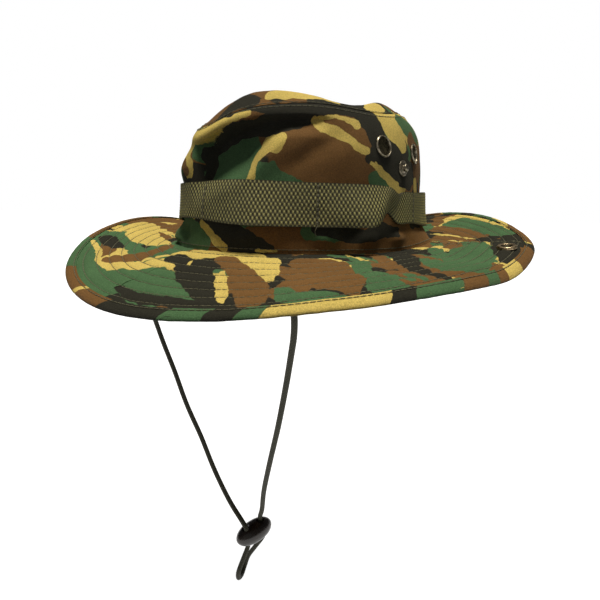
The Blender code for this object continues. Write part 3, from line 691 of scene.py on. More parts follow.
def stitches(name, lines, surface, radius=THREAD):
    """Thread: one small bead of it between each two points of each line. A line is (points, normals)."""
    sides, shares = 6, np.array([0.04, 0.22, 0.5, 0.78, 0.96])
    swell = np.array([0.45, 1.0, 1.12, 1.0, 0.45])
    points, faces, count = [], [], 0
    for path, normals in lines:
        start, stop, up = path[:-1], path[1:], normals[:-1]
        along = stop - start
        side = np.cross(along, up)
        side /= np.maximum(np.linalg.norm(side, axis=-1, keepdims=True), 1e-12)
        for number in range(len(start)):
            rings = start[number] + along[number] * shares[:, None]
            rings = rings + up[number] * (radius * (swell - 0.75))[:, None]
            for centre, size in zip(rings, swell):
                for k in range(sides):
                    angle = 2 * math.pi * k / sides
                    offset = side[number] * math.cos(angle) + up[number] * math.sin(angle)
                    points.append(centre + offset * radius * size)
            for ring in range(len(shares) - 1):
                low, high = count + ring * sides, count + (ring + 1) * sides
                for k in range(sides):
                    n = (k + 1) % sides
                    faces.append((low + n, low + k, high + k, high + n))
            last = count + (len(shares) - 1) * sides
            faces.append(tuple(range(count, count + sides)))
            faces.append(tuple(last + sides - 1 - k for k in range(sides)))
            count += sides * len(shares)
    return build(name, np.array(points), faces, surface, sharp=80)


def tube_parts(centres, radii, sides):
    """The points and faces of a closed tube along centres; radii holds a row for each centre."""
    centres = np.asarray([tuple(c) for c in centres], float)
    along = np.gradient(centres, axis=0)
    along /= np.linalg.norm(along, axis=1, keepdims=True)
    side = np.cross(along[0], (0.3, 0.2, 0.9))
    frames = []
    for direction in along:
        side = side - direction * (side @ direction)
        side = side / np.linalg.norm(side)
        frames.append((side, np.cross(direction, side)))
    angles = np.arange(sides) * 2 * math.pi / sides
    one, two = (np.array([f[i] for f in frames])[:, None, :] for i in (0, 1))
    ring = one * np.cos(angles)[None, :, None] + two * np.sin(angles)[None, :, None]
    grid = centres[:, None, :] + ring * np.asarray(radii)[..., None]
    index = np.arange(grid.shape[0] * sides).reshape(-1, sides)
    after = np.roll(index, -1, 1)
    quads = np.stack([index[:-1], after[:-1], after[1:], index[1:]], -1).reshape(-1, 4)
    faces = quads.tolist() + [tuple(index[0][::-1].tolist()), tuple(index[-1].tolist())]
    return grid.reshape(-1, 3), faces


def tube(name, centres, radii, sides, surface, marks=None):
    points, faces = tube_parts(centres, radii, sides)
    return build(name, points, faces, surface, marks, sharp=80)


# Materials


def principled(name, roughness, metallic=0.0, colour=(0.5, 0.5, 0.5)):
    made = bpy.data.materials.new(name)
    made.use_nodes = True
    shader = made.node_tree.nodes["Principled BSDF"]
    shader.inputs["Base Color"].default_value = (*colour, 1)
    shader.inputs["Roughness"].default_value = roughness
    shader.inputs["Metallic"].default_value = metallic
    return made, made.node_tree, shader


def node(tree, kind, **settings):
    made = tree.nodes.new(kind)
    for key, value in settings.items():
        if key.startswith("in_"):
            made.inputs[key[3:].replace("_", " ")].default_value = value
        else:
            setattr(made, key, value)
    return made


def mix_colour(tree, factor, one, two, kind="MIX"):
    mixed = tree.nodes.new("ShaderNodeMix")
    mixed.data_type = "RGBA"
    mixed.blend_type = kind
    for socket, value in ((0, factor), (6, one), (7, two)):
        if isinstance(value, bpy.types.NodeSocket):
            tree.links.new(value, mixed.inputs[socket])
        elif socket == 0:
            mixed.inputs[socket].default_value = value
        else:
            mixed.inputs[socket].default_value = (*value, 1)
    return mixed.outputs[2]


def scalar(tree, operation, one, two=None):
    made = tree.nodes.new("ShaderNodeMath")
    made.operation = operation
    for number, value in enumerate((one, two)):
        if isinstance(value, bpy.types.NodeSocket):
            tree.links.new(value, made.inputs[number])
        elif value is not None:
            made.inputs[number].default_value = value
    return made.outputs[0]


def ranged(tree, value, low, high, to_low=0.0, to_high=1.0, ease=True):
    made = tree.nodes.new("ShaderNodeMapRange")
    made.interpolation_type = "SMOOTHSTEP" if ease else "LINEAR"
    tree.links.new(value, made.inputs["Value"])
    for key, number in (("From Min", low), ("From Max", high), ("To Min", to_low), ("To Max", to_high)):
        made.inputs[key].default_value = number
    return made.outputs["Result"]


def noise_texture(tree, scale, detail=2.0, roughness=0.5):
    where = tree.nodes.get("where") or node(tree, "ShaderNodeTexCoord", name="where")
    made = node(tree, "ShaderNodeTexNoise", in_Scale=scale, in_Detail=detail, in_Roughness=roughness)
    tree.links.new(where.outputs["Object"], made.inputs["Vector"])
    return made.outputs["Fac"]


def bumped(tree, shader, height, strength, distance):
    made = node(tree, "ShaderNodeBump", in_Strength=strength, in_Distance=distance)
    tree.links.new(height, made.inputs["Height"])
    tree.links.new(made.outputs["Normal"], shader.inputs["Normal"])


def sheen(shader, weight, roughness=0.5, tint=(1, 1, 1)):
    shader.inputs["Sheen Weight"].default_value = weight
    shader.inputs["Sheen Roughness"].default_value = roughness
    shader.inputs["Sheen Tint"].default_value = (*tint, 1)


def threads(tree):
    """The weave of a plain cotton cloth from the weave_u and weave_v marks, in mm."""
    waves = []
    for mark in ("weave_u", "weave_v"):
        along = node(tree, "ShaderNodeAttribute", attribute_name=mark)
        turn = scalar(tree, "MULTIPLY", along.outputs["Fac"], 2 * math.pi / 0.55)
        waves.append(scalar(tree, "SINE", turn))
    return scalar(tree, "MULTIPLY", waves[0], waves[1])


def camouflage_cloth():
    made, tree, shader = principled("camouflage cloth", 0.88)
    jagged = scalar(tree, "SUBTRACT", noise_texture(tree, 900, 2), 0.5)
    jagged = scalar(tree, "MULTIPLY", jagged, 0.55)
    colour = PALETTE["tan"]
    for name in ("green", "brown", "black"):
        inside = node(tree, "ShaderNodeAttribute", attribute_name=name)
        field = scalar(tree, "ADD", inside.outputs["Fac"], jagged)
        share = ranged(tree, field, -0.42, -0.05)
        colour = mix_colour(tree, share, colour, PALETTE[name])
    weave = threads(tree)
    grain = noise_texture(tree, 1500, 3, 0.65)
    patch = noise_texture(tree, 26, 4, 0.6)
    shade = ranged(tree, grain, 0.28, 0.72, 0.66, 1.26, ease=False)
    shade = scalar(tree, "ADD", shade, scalar(tree, "MULTIPLY", weave, 0.10))
    fade = ranged(tree, patch, 0.3, 0.7, 0.90, 1.10, ease=False)
    shade = scalar(tree, "MULTIPLY", shade, fade)
    tone = node(tree, "ShaderNodeCombineColor")
    for socket in ("Red", "Green", "Blue"):
        tree.links.new(shade, tone.inputs[socket])
    colour = mix_colour(tree, 1.0, colour, tone.outputs[0], "MULTIPLY")
    lint = ranged(tree, noise_texture(tree, 2600, 2, 0.7), 0.60, 0.74, 0.0, 0.10)
    colour = mix_colour(tree, lint, colour, (0.42, 0.42, 0.30))
    tree.links.new(colour, shader.inputs["Base Color"])
    height = scalar(tree, "ADD", grain, scalar(tree, "MULTIPLY", weave, 0.35))
    bumped(tree, shader, height, 0.55, 0.00030)
    sheen(shader, 0.03, 0.5, (0.9, 0.85, 0.6))
    shader.inputs["Specular IOR Level"].default_value = 0.12
    return made


def plain_cloth(name, colour, light, rough_at=0.92):
    made, tree, shader = principled(name, rough_at, colour=colour)
    grain = noise_texture(tree, 1400, 3, 0.65)
    share = ranged(tree, grain, 0.35, 0.7)
    tree.links.new(mix_colour(tree, share, colour, light), shader.inputs["Base Color"])
    bumped(tree, shader, grain, 0.6, 0.00035)
    sheen(shader, 0.12)
    return made


def webbing_material():
    made, tree, shader = principled("webbing", 0.72)
    knot = node(tree, "ShaderNodeAttribute", attribute_name="knot").outputs["Fac"]
    grain = noise_texture(tree, 2200, 2, 0.6)
    # Painted shade: the webbing is near black between its knots and darker toward its long edges, where the knot mark
    # is low; the knots take the light colour
    knot_pattern_and_gap_shade = scalar(tree, "ADD", knot, scalar(tree, "MULTIPLY", grain, 0.5))
    share = ranged(tree, knot_pattern_and_gap_shade, 0.55, 1.22)
    colour = mix_colour(tree, share, (0.027, 0.024, 0.007), (0.53, 0.49, 0.18))
    age = ranged(tree, noise_texture(tree, 60, 3), 0.35, 0.65)
    age = scalar(tree, "MULTIPLY", age, 0.25)
    colour = mix_colour(tree, age, colour, (0.10, 0.095, 0.045))
    tree.links.new(colour, shader.inputs["Base Color"])
    bumped(tree, shader, knot_pattern_and_gap_shade, 0.5, 0.00025)
    shader.inputs["Specular IOR Level"].default_value = 0.35
    return made


def cord_material():
    made, tree, shader = principled("braided cord", 0.80)
    strand_and_groove_shade = node(tree, "ShaderNodeAttribute", attribute_name="strand_and_groove_shade").outputs["Fac"]
    grain = noise_texture(tree, 3000, 2, 0.6)
    # Painted shade: the braid is darker in the grooves between its strands, where the strand mark is low
    share = scalar(tree, "MULTIPLY", strand_and_groove_shade, ranged(tree, grain, 0.3, 0.7, 0.5, 1.1))
    colour = mix_colour(tree, share, (0.022, 0.021, 0.008), (0.105, 0.100, 0.042))
    tree.links.new(colour, shader.inputs["Base Color"])
    bumped(tree, shader, grain, 0.5, 0.00025)
    sheen(shader, 0.08)
    return made


def metal(name, colour, dark, roughness):
    """Aged metal: bright where it is rubbed, darker in blotches."""
    made, tree, shader = principled(name, roughness, 1.0, colour)
    blotch = ranged(tree, noise_texture(tree, 700, 4, 0.6), 0.42, 0.66)
    tree.links.new(mix_colour(tree, blotch, colour, dark), shader.inputs["Base Color"])
    fine = noise_texture(tree, 2600, 3, 0.6)
    worn = ranged(tree, fine, 0.3, 0.7, roughness - 0.08, roughness + 0.16)
    tree.links.new(worn, shader.inputs["Roughness"])
    bumped(tree, shader, fine, 0.12, 0.00012)
    return made


def plastic():
    made, tree, shader = principled("dark plastic", 0.26, colour=(0.020, 0.011, 0.007))
    swirl = ranged(tree, noise_texture(tree, 180, 3, 0.6), 0.35, 0.7)
    colour = mix_colour(tree, swirl, (0.016, 0.009, 0.006), (0.040, 0.022, 0.013))
    tree.links.new(colour, shader.inputs["Base Color"])
    scuff = noise_texture(tree, 1100, 4, 0.6)
    tree.links.new(ranged(tree, scuff, 0.4, 0.75, 0.20, 0.42), shader.inputs["Roughness"])
    bumped(tree, shader, scuff, 0.10, 0.0002)
    return made


CLOTH = camouflage_cloth()
FELT = plain_cloth("interlining", (0.42, 0.40, 0.33), (0.56, 0.54, 0.46))
COTTON = plain_cloth("sweatband cotton", (0.060, 0.068, 0.030), (0.130, 0.140, 0.070))
THREADS = plain_cloth("thread", (0.085, 0.080, 0.038), (0.165, 0.155, 0.080), 0.80)
DARK_THREADS = plain_cloth("dark thread", (0.030, 0.030, 0.014), (0.075, 0.074, 0.036), 0.75)
WEBBING = webbing_material()
BRAID = cord_material()
BRASS = metal("aged brass", (0.46, 0.36, 0.22), (0.16, 0.115, 0.060), 0.34)
BRONZE = metal("bronzed brass", (0.25, 0.22, 0.16), (0.075, 0.064, 0.042), 0.38)
MESH = metal("vent mesh", (0.060, 0.052, 0.030), (0.020, 0.017, 0.010), 0.50)
PLASTIC = plastic()


# Cloth pieces of the brim


VENTS = [f"vent_{side}_{end}" for side in ("left", "right") for end in ("front", "rear")]
HALVES = {"left": (-90, 90), "right": (90, 270)}
LEFT_SIDE = {"left": "left_side_brim", "right": "right_side_brim"}


def hinged(piece, side, slot, *nodes):
    """Bakes a piece of one half of the brim into its mesh and hides the CAD nodes that it replaces."""
    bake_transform(piece)
    if nodes:
        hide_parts(*nodes)
    return piece


def half_angles(side, step):
    """Angles over half the brim, closer together beside its side seam."""
    first, last = HALVES[side]
    even = np.radians(np.linspace(first, last, round(math.radians(180) * 0.155 / step) + 1))
    beside = np.array([-3, -2.2, -1.5, -0.9, -0.45, 0, 0.45, 0.9, 1.5, 2.2, 3]) * 0.001
    seam = FOLD_NORMAL[side] + beside / 0.14
    return np.unique(np.concatenate([even, seam]))


def brim_grid(side, step, rows, depth, relief=True):
    """Points over half the brim, rows from the crown outward, with its angles and distances out."""
    angles = half_angles(side, step)
    share = np.linspace(0, 1, rows)[:, None]
    outs = BRIM_INNER + share * (reach(angles) - BINDING - BINDING_GAP - BRIM_INNER)[None, :]
    angle = np.broadcast_to(angles, outs.shape)
    return brim(angle, outs, depth, relief), angle, outs


def weave_marks(angle, out):
    place = 1000 * plan(angle, out)
    return {"weave_u": place[..., 0], "weave_v": place[..., 1]}


def make_brim():
    upper = laid_out(BRIM_PAINT, brim_map)
    other = {"left": "front", "right": "rear"}
    low = CLOTH_THICK - PLY
    for side in HALVES:
        nodes = {name: (f"brim_{name}_{side}", f"brim_{name}_{other[side]}") for name in
                 ("upper_ply", "lower_ply", "interlining", "binding")}
        grid, angle, out = brim_grid(side, 0.0011 / FINE, int(150 * FINE), 0.0)
        marks = {**camouflage(brim_map(angle, out), upper), **weave_marks(angle, out)}
        top = shell(f"brim_upper_cloth_{side}", grid, PLY, CLOTH, marks=marks)
        hinged(top, side, "camouflage_cloth", *nodes["upper_ply"])
        grid, angle, out = brim_grid(side, 0.0020 / FINE, int(100 * FINE), low)
        marks = {**camouflage(brim_map(angle, out), seed=300), **weave_marks(angle, out)}
        marks = {mark: values[:, ::-1] for mark, values in marks.items()}
        under = grid - (0, 0, PLY)
        bottom = shell(f"brim_lower_cloth_{side}", under[:, ::-1], PLY, CLOTH, marks=marks, under=grid[:, ::-1])
        hinged(bottom, side, "camouflage_cloth", *nodes["lower_ply"])
        grid, _, _ = brim_grid(side, 0.0030 / FINE, int(100 * FINE), PLY + 0.00015)
        stiff = shell(f"brim_stiffener_{side}", grid[:-1], INTERLINING - 0.0003, FELT)
        hinged(stiff, side, "interlining", *nodes["interlining"])
        make_binding(side, nodes["binding"])
        make_brim_stitching(side)


def inside(loop):
    """The area inside a run of points and the straight lines from its ends to the middle."""
    return 0.5 * float(np.sum(loop[:-1, 0] * loop[1:, 1] - loop[1:, 0] * loop[:-1, 1]))


def binding_profile():
    """The folded tape in cross-section: (in from the edge, above the brim's top face), outer face."""
    top, bottom = BINDING_GAP + BINDING, -CLOTH_THICK - BINDING_GAP - BINDING
    middle, half = (top + bottom) / 2, (top - bottom) / 2
    bend = 0.0016
    points = []
    for inset in np.linspace(BINDING_WIDTH, bend, int(14 * FINE) + 4):
        swell = 0.00022 * math.sin(math.pi * (BINDING_WIDTH - inset) / BINDING_WIDTH)
        groove = 0.00035 * math.exp(-(((inset - BINDING_WIDTH + 0.0013) / 0.0006) ** 2))
        points.append((inset, top + swell - groove))
    for turn in np.radians(np.linspace(90, -90, int(12 * FINE) + 4))[1:-1]:
        points.append((bend * (1 - math.cos(turn)), middle + half * math.sin(turn)))
    return points + [(inset, top + bottom - height) for inset, height in points[: int(14 * FINE) + 4][::-1]]


def slow_waves(angle, out):
    """The brim's shallow waves, the same in every layer."""
    waves = 0.0008 * rough(flat(plan(angle, out)), 0.050, 12, 2) * smooth(out / 0.02)
    turn = turn_from(angle, 4) / 13
    tilt = 0.0044 * turn * gauss(turn) * smooth((out - 0.015) / 0.025)
    return waves + tilt + 0.0014 * bump(angle, -62, 44) * smooth(out / BRIM_WIDTH)


def edge_point(angle, out, above):
    """A point that far above the brim's top face beside its edge, without the quilting."""
    place = brim(angle, out, -above, relief=False)
    place[..., 2] += slow_waves(angle, out)
    return place


def make_binding(side, nodes):
    angles = half_angles(side, 0.0012 / FINE)
    profile = binding_profile()
    inset = np.array([p[0] for p in profile])[:, None]
    height = np.array([p[1] for p in profile])[:, None]
    angle = np.broadcast_to(angles, (len(profile), len(angles)))
    out = reach(angle) - inset
    pucker = 0.00016 * rough(np.stack([angle * 0.155, out, 0 * out], -1), 0.0045, 61, 2)
    grid = edge_point(angle, out, height + pucker)
    girth = np.cumsum([0.0] + [math.dist(a, b) for a, b in zip(profile, profile[1:])])[:, None] * 1000
    places = flat(np.stack([turn_from(angle, 0) * 2.75, girth + 0 * angle], -1))
    fields = camouflage(places * (0.8, 1.2, 1), seed=500)
    position = turn_from(angle, 0) * 2.75 + 0.7 * (girth - 4) + 0.8 * noise(places, 4, 63)
    for name, first, last in BINDING_PAINT:
        cover(fields, name, np.minimum(position - first * 2.75, last * 2.75 - position))
    marks = {name: np.clip(field, -9, 9) for name, field in fields.items()}
    marks["weave_u"] = (position + girth) * 0.7
    marks["weave_v"] = (position - girth) * 0.7
    piece = shell(f"brim_edge_binding_{side}", grid, BINDING, CLOTH, marks=marks)
    hinged(piece, side, "binding_tape", *nodes)


def line_over(surface, first, second, step):
    """Stitch points along a line on a surface, spaced by step, with the normals there."""
    points = surface(first, second)
    length = np.concatenate([[0], np.cumsum(np.linalg.norm(np.diff(points, axis=0), axis=1))])
    count = max(2, round(length[-1] / step))
    even = np.linspace(0, length[-1], count + 1)
    first, second = np.interp(even, length, first), np.interp(even, length, second)
    points = surface(first, second)
    along = np.gradient(points, axis=0)
    small = 0.0004
    other = surface(first, second + small) - surface(first, second - small)
    normal = np.cross(along, other)
    normal /= np.linalg.norm(normal, axis=1, keepdims=True)
    return points, normal


UPWARD = (0, 0, 1)
DOWNWARD = (0, 0, -1)
SPREAD_OUT = None


def sewn(surface, first, second, outer, step=STITCH, lift=THREAD * 0.55):
    """One line of stitches on a surface; outer is the direction out of the cloth."""
    points, normal = line_over(surface, first, second, step)
    out = points * (1, 1, 0) if outer is SPREAD_OUT else outer
    normal = normal * np.where((normal * out).sum(1, keepdims=True) < 0, -1, 1)
    return points + normal * lift, normal


def make_brim_stitching(side):
    first, last = (math.radians(a) for a in HALVES[side])
    angles = np.linspace(first, last, 500)
    lines = []
    under = partial(brim, below=CLOTH_THICK)
    for surface, outer in ((brim, UPWARD), (under, DOWNWARD)):
        for row in range(QUILT_ROWS):
            outs = reach(angles) - QUILT_FIRST - row * QUILT_STEP
            lines.append(sewn(surface, angles, outs, outer))
    seam = FOLD_NORMAL[side]
    for shift in (-0.0022, 0.0022):
        outs = np.linspace(0.002, BRIM_WIDTH - BINDING_WIDTH - 0.002, 60)
        lines.append(sewn(brim, seam + shift / (0.095 + outs), outs, UPWARD))
    edge = partial(edge_point, above=BINDING_GAP + BINDING)
    lines.append(sewn(edge, angles, reach(angles) - BINDING_WIDTH + 0.0013, UPWARD))
    hinged(stitches(f"brim_stitching_{side}", lines, THREADS), side, "thread")


# Crown


def make_crown():
    columns, rows = int(700 * FINE), int(120 * FINE)
    angles = np.linspace(-math.pi, math.pi, columns + 1)[:-1]
    share = np.linspace(1, 0, rows)[:, None]
    height = share * (seam_height(angles)[None, :] + CROWN_TUCK) - CROWN_TUCK
    angle = np.broadcast_to(angles, height.shape)
    grid = wall(angle, height)
    # The crown's strokes include black ones of painted shadow in the hollow under the front roll
    marks = camouflage(wall_map(angle, height), laid_out(CROWN_PAINT, wall_map), seed=900)
    marks["weave_u"] = turn_from(angle, -120) * 1.6
    marks["weave_v"] = 1000 * height
    side = shell("crown_side_cloth", grid, WALL, CLOTH, ring=True, marks=marks)
    bore = VENT_BORE + 0.0004
    hole = ((0, -0.006), (bore, -0.006), (bore, 0.006), (0, 0.006))
    cut(side, [hole] * len(VENTS), [crown_place(f"{name}_eyelet") for name in VENTS])
    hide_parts("crown_side")
    rings = np.linspace(1, 0.01, int(90 * FINE))[:, None]
    columns = int(480 * FINE)
    angles = np.linspace(-math.pi, math.pi, columns + 1)[:-1]
    angle, ring = np.broadcast_arrays(angles[None, :], rings)
    grid = crown_top_point(angle, ring)
    inward = 0.075 * (1 - ring)
    marks = camouflage(top_map(angle, inward), laid_out(TOP_PAINT, top_map), seed=1300)
    marks["weave_u"], marks["weave_v"] = 1000 * grid[..., 0], 1000 * grid[..., 1]
    marks = {mark: values[:, ::-1] for mark, values in marks.items()}
    top = shell("crown_top_cloth", grid[:, ::-1], WALL, CLOTH, ring=True, pole=True, marks=marks)
    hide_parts("crown_top")
    for piece in (side, top):
        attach(piece, "hat")
    angles = np.linspace(-math.pi, math.pi, 900)
    lines = [
        sewn(wall, angles, seam_height(angles) - 0.0020, SPREAD_OUT),
        sewn(wall, angles, 0 * angles + 0.0022, SPREAD_OUT),
        sewn(crown_top_point, angles, 0 * angles + 0.972, UPWARD),
    ]
    thread = stitches("crown_stitching", lines, THREADS)
    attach(thread, "hat")


def top_map(angle, inward):
    """The crown's top laid out flat, in mm, from its edge inward."""
    ring = 1 - np.asarray(inward) / 0.075
    return flat(1000 * ellipse(angle) * 0.83 * ring[..., None])


def make_lining():
    """The sweatband inside the opening and the tape over the centre-back seam."""
    angles = np.linspace(-math.pi, math.pi, int(300 * FINE) + 1)[:-1]
    height = np.linspace(SWEATBAND_HEIGHT, 0.002, int(30 * FINE))[:, None]
    angle, height = np.broadcast_arrays(angles[None, :], height)
    fold = 0.0004 * smooth((0.006 - height) / 0.004)
    grid = wall(angle, height, -WALL - GAP - fold)
    band = shell("sweatband_ring", grid, SWEATBAND, COTTON, ring=True)
    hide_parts("sweatband")
    angle, height = np.meshgrid(np.radians(np.linspace(86, 94, 16)), np.linspace(0.076, BAND_HIGH, 60))
    tape = shell("back_seam_tape", wall(angle, height, -WALL - TAPE_GAP), SEAM_TAPE, COTTON)
    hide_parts("crown_back_seam_tape")
    for piece in (band, tape):
        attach(piece, "hat")


# Webbing


def band_edges(angle):
    """The webbing's lower and upper edge heights: it sags at the front and kinks at its slack loop."""
    low = BAND_LOW + 0.0032 * bump(angle, -98, 22)
    low = low + 0.0080 * bump(angle, -14.5, 5) + 0.0022 * bump(angle, 2, 12)
    high = BAND_HIGH + 0.0012 * bump(angle, -75, 20)
    high = high - 0.0030 * bump(angle, -8.5, 5) - 0.0020 * bump(angle, 4, 14)
    return low, high


def band_stand(angle, share):
    """How far the webbing stands off the wall: between tacks, and most in the slack loop at the left."""
    loose = 0.0020 * np.sin(TACKS / 2 * np.radians(turn_from(angle, FIRST_TACK))) ** 2
    loose = loose * (1 - 0.85 * bump(angle, 20, 32)) * (1 - 0.85 * bump(angle, -126, 26))
    loop = 0.0072 * smooth(turn_from(angle, FIRST_TACK) / 18)
    loop = loop * smooth((9 * share - turn_from(angle, -12)) / 13)
    puff = 0.0015 * bump(angle, -66, 14)
    return 0.0003 + (loose + puff) * (1.25 - 0.6 * share) + loop * (1.15 - 0.45 * share)


def band_point(angle, share, off=0.0):
    angle, share = np.broadcast_arrays(np.asarray(angle, float), np.asarray(share, float))
    low, high = band_edges(angle)
    height = low + (high - low) * share
    plain = np.concatenate([ellipse(angle) * wall_scale(height)[..., None], height[..., None]], -1)
    under = slouch(angle, height)
    stand = BAND + band_stand(angle, share) + np.maximum(under, 0.45 * under) + off
    stand = stand + 0.0004 * rough(plain, 0.022, 71, 2)
    plain[..., :2] += outward(angle) * stand[..., None]
    return plain


def knots(along, across):
    """The webbing's weave: 1 at a knot, -1 between knots. Both are in metres."""
    return np.cos(2 * math.pi * along / WEAVE_ALONG) * np.cos(math.pi * across / WEAVE_ACROSS)


def make_band():
    columns, rows = int(1900 * FINE), int(64 * FINE)
    angles = np.linspace(-math.pi, math.pi, columns + 1)[:-1]
    line = band_point(angles, 0.5)
    along = np.concatenate([[0], np.cumsum(np.linalg.norm(np.diff(line, axis=0), axis=1))])
    along = along * (round(along[-1] / WEAVE_ALONG) * WEAVE_ALONG / along[-1])
    angle, share = np.broadcast_arrays(angles[None, :], np.linspace(1, 0, rows)[:, None])
    across = share * (BAND_HIGH - BAND_LOW)
    pattern = knots(along[None, :], across)
    edge = 1 - gauss(np.minimum(share, 1 - share) / 0.03)
    grid = band_point(angle, share, 0.00020 * pattern * edge)
    # The knot mark sets the weave and also painted shade: low between the knots and toward the webbing's edges
    marks = {"knot": (0.5 + 0.5 * pattern) * (0.55 + 0.45 * edge)}
    piece = shell("hatband_webbing", grid, BAND, WEBBING, ring=True, marks=marks)
    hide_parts("foliage_band")
    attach(piece, "hat")
    for number in range(TACKS):
        middle = math.radians(FIRST_TACK + number * 360 / TACKS)
        lines = []
        for shift in (-0.0035, 0.0035):
            shares = np.linspace(0.04, 0.96, 20)
            surface = partial(band_point, off=0.0002)
            across = 0 * shares + middle + shift
            lines.append(sewn(surface, across, shares, SPREAD_OUT, 0.0024, 0.0002))
        tack = stitches(f"webbing_tack_{number + 1}", lines, THREADS, 0.00030)
        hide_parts(f"band_tack_{number + 1}")
        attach(tack, "hat")
    start = band_point(np.array(math.radians(FIRST_TACK)), np.array(0.06), 0.0006)
    drift = ((0, 0, 0), (-0.2, -0.7, -1.6), (-0.9, -1.1, -3.2), (-1.3, -0.7, -5.0), (-1.1, -0.2, -6.4))
    loose = [Vector(p) for p in start + np.array(drift) / 1000]
    centres = [tuple(p) for p in smooth_curve(loose, 0.0005)]
    radii = np.full((len(centres), 6), 0.00022)
    end = tube("loose_thread", centres, radii, 6, THREADS)
    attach(end, "hat")


# Snaps and vents


def make_snap(side):
    angle = SNAP_ANGLE[side]
    place = frame_at(brim, angle, SNAP_OUT, 0.002)
    low = -CLOTH_THICK - 0.0004
    ring = [
        (0.0033, -0.0010),
        (0.0033, 0.0005),
        (0.0030, 0.0008),
        (0.0030, 0.0011),
        (0.0034, 0.0015),
        (0.0049, 0.0015),
        (0.0054, 0.0011),
        (0.0056, 0.0003),
        (0.0056, -0.0002),
    ]
    socket = turned(f"snap_socket_ring_{side}", ring, place, BRASS, 0.00035)
    seat = turned(
        f"snap_socket_spring_{side}",
        ((0, -0.0003), (0.0033, -0.0003), (0.0033, 0.0006), (0.0026, 0.0008), (0.0019, 0.0003), (0, 0.0003)),
        place,
        MESH,
    )
    cap = turned(
        f"snap_cap_dome_{side}",
        (
            (0, low - 0.0014),
            (0.0025, low - 0.0013),
            (0.0041, low - 0.0009),
            (CAP_RADIUS, low + 0.0001),
            (0, low + 0.0001),
        ),
        place,
        BRASS,
        0.0004,
    )
    post = turned(f"snap_post_{side}", ((0, low), (0.0016, low), (0.0016, 0.0001), (0, 0.0001)), place, BRASS)
    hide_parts(f"snap_socket_{side}")
    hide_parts(f"snap_cap_{side}")
    for piece in (socket, seat, cap, post):
        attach(piece, LEFT_SIDE[side])


def crown_place(node):
    """The crown's surface frame where a CAD node sits."""
    low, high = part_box(node)
    centre = (low + high) / 2
    angle = math.atan2(centre.y / HALF_LENGTH, centre.x / HALF_WIDTH)
    return frame_at(wall, angle, centre.z, 0.002)


def make_stud(side):
    place = crown_place(f"snap_stud_{side}")
    stud = turned(
        f"snap_stud_button_{side}",
        (
            (0, -WALL - 0.0023),
            (0.0017, -WALL - 0.0023),
            (0.0017, 0.0001),
            (0.0047, 0.0001),
            (0.0049, 0.0006),
            (0.0043, 0.0010),
            (0.0030, 0.0009),
            (0.0020, 0.0012),
            (0.0018, 0.0016),
            (0.0024, 0.0024),
            (0.0021, 0.0031),
            (0.0012, 0.0035),
            (0, 0.0036),
        ),
        place,
        BRONZE,
        0.00025,
    )
    washer = turned(
        f"snap_backing_washer_{side}",
        (
            (0.0021, -WALL - 0.0013),
            (0.0021, -WALL - 0.0019),
            (0.0048, -WALL - 0.0019),
            (0.0048, -WALL - 0.0013),
        ),
        place,
        BRASS,
    )
    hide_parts(f"snap_stud_{side}")
    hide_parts(f"snap_washer_{side}")
    for piece in (stud, washer):
        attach(piece, "hat")


def make_vent(name):
    place = crown_place(f"{name}_eyelet")
    eyelet = turned(
        f"{name}_ring",
        (
            (VENT_BORE, -WALL - 0.0023),
            (VENT_BORE + 0.0005, -WALL - 0.0023),
            (VENT_BORE + 0.0005, 0.0),
            (VENT_RADIUS, 0.0),
            (VENT_RADIUS + 0.0001, 0.0006),
            (VENT_RADIUS - 0.0005, 0.0013),
            (VENT_BORE + 0.0004, 0.0013),
            (VENT_BORE, 0.0006),
        ),
        place,
        BRONZE,
        0.0004,
        64,
    )
    washer = turned(
        f"{name}_backing_washer",
        (
            (VENT_BORE + 0.0009, -WALL - 0.0013),
            (VENT_BORE + 0.0009, -WALL - 0.0019),
            (VENT_RADIUS + 0.0006, -WALL - 0.0019),
            (VENT_RADIUS + 0.0006, -WALL - 0.0013),
        ),
        place,
        BRONZE,
    )
    screen = woven(f"{name}_wire_screen", place @ Matrix.Translation((0, 0, -0.0007)), VENT_BORE + 0.0003, MESH)
    for piece, node_name, finish in ((eyelet, "eyelet", "bronzed_brass"), (washer, "washer", "bronzed_brass"),
                                     (screen, "screen", "vent_mesh")):
        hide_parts(f"{name}_{node_name}")
        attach(piece, "hat")


def woven(name, place, radius, surface, pitch=0.00052, wire=0.00017):
    """A round piece of woven wire, as one mesh of wires in place's XY plane."""
    points, faces = [], []
    count = int(radius / pitch)
    turn = np.array(place)
    for way in (0, 1):
        for number in range(-count, count + 1):
            across = number * pitch
            half = math.sqrt(max(radius**2 - across**2, 1e-8))
            along = np.linspace(-half, half, max(4, int(2 * half / pitch * 3)))
            lift = 0.00012 * np.cos(math.pi * along / pitch + math.pi * (number + way))
            line = np.stack([along, across + 0 * along, lift], -1)
            if way:
                line = line[:, [1, 0, 2]]
            ring, quads = tube_parts(line, np.full((len(line), 5), wire), 5)
            faces += [tuple(i + len(points) for i in face) for face in quads]
            points += (ring @ turn[:3, :3].T + turn[:3, 3]).tolist()
    return build(name, np.array(points), faces, surface, sharp=80)


# Chin cord


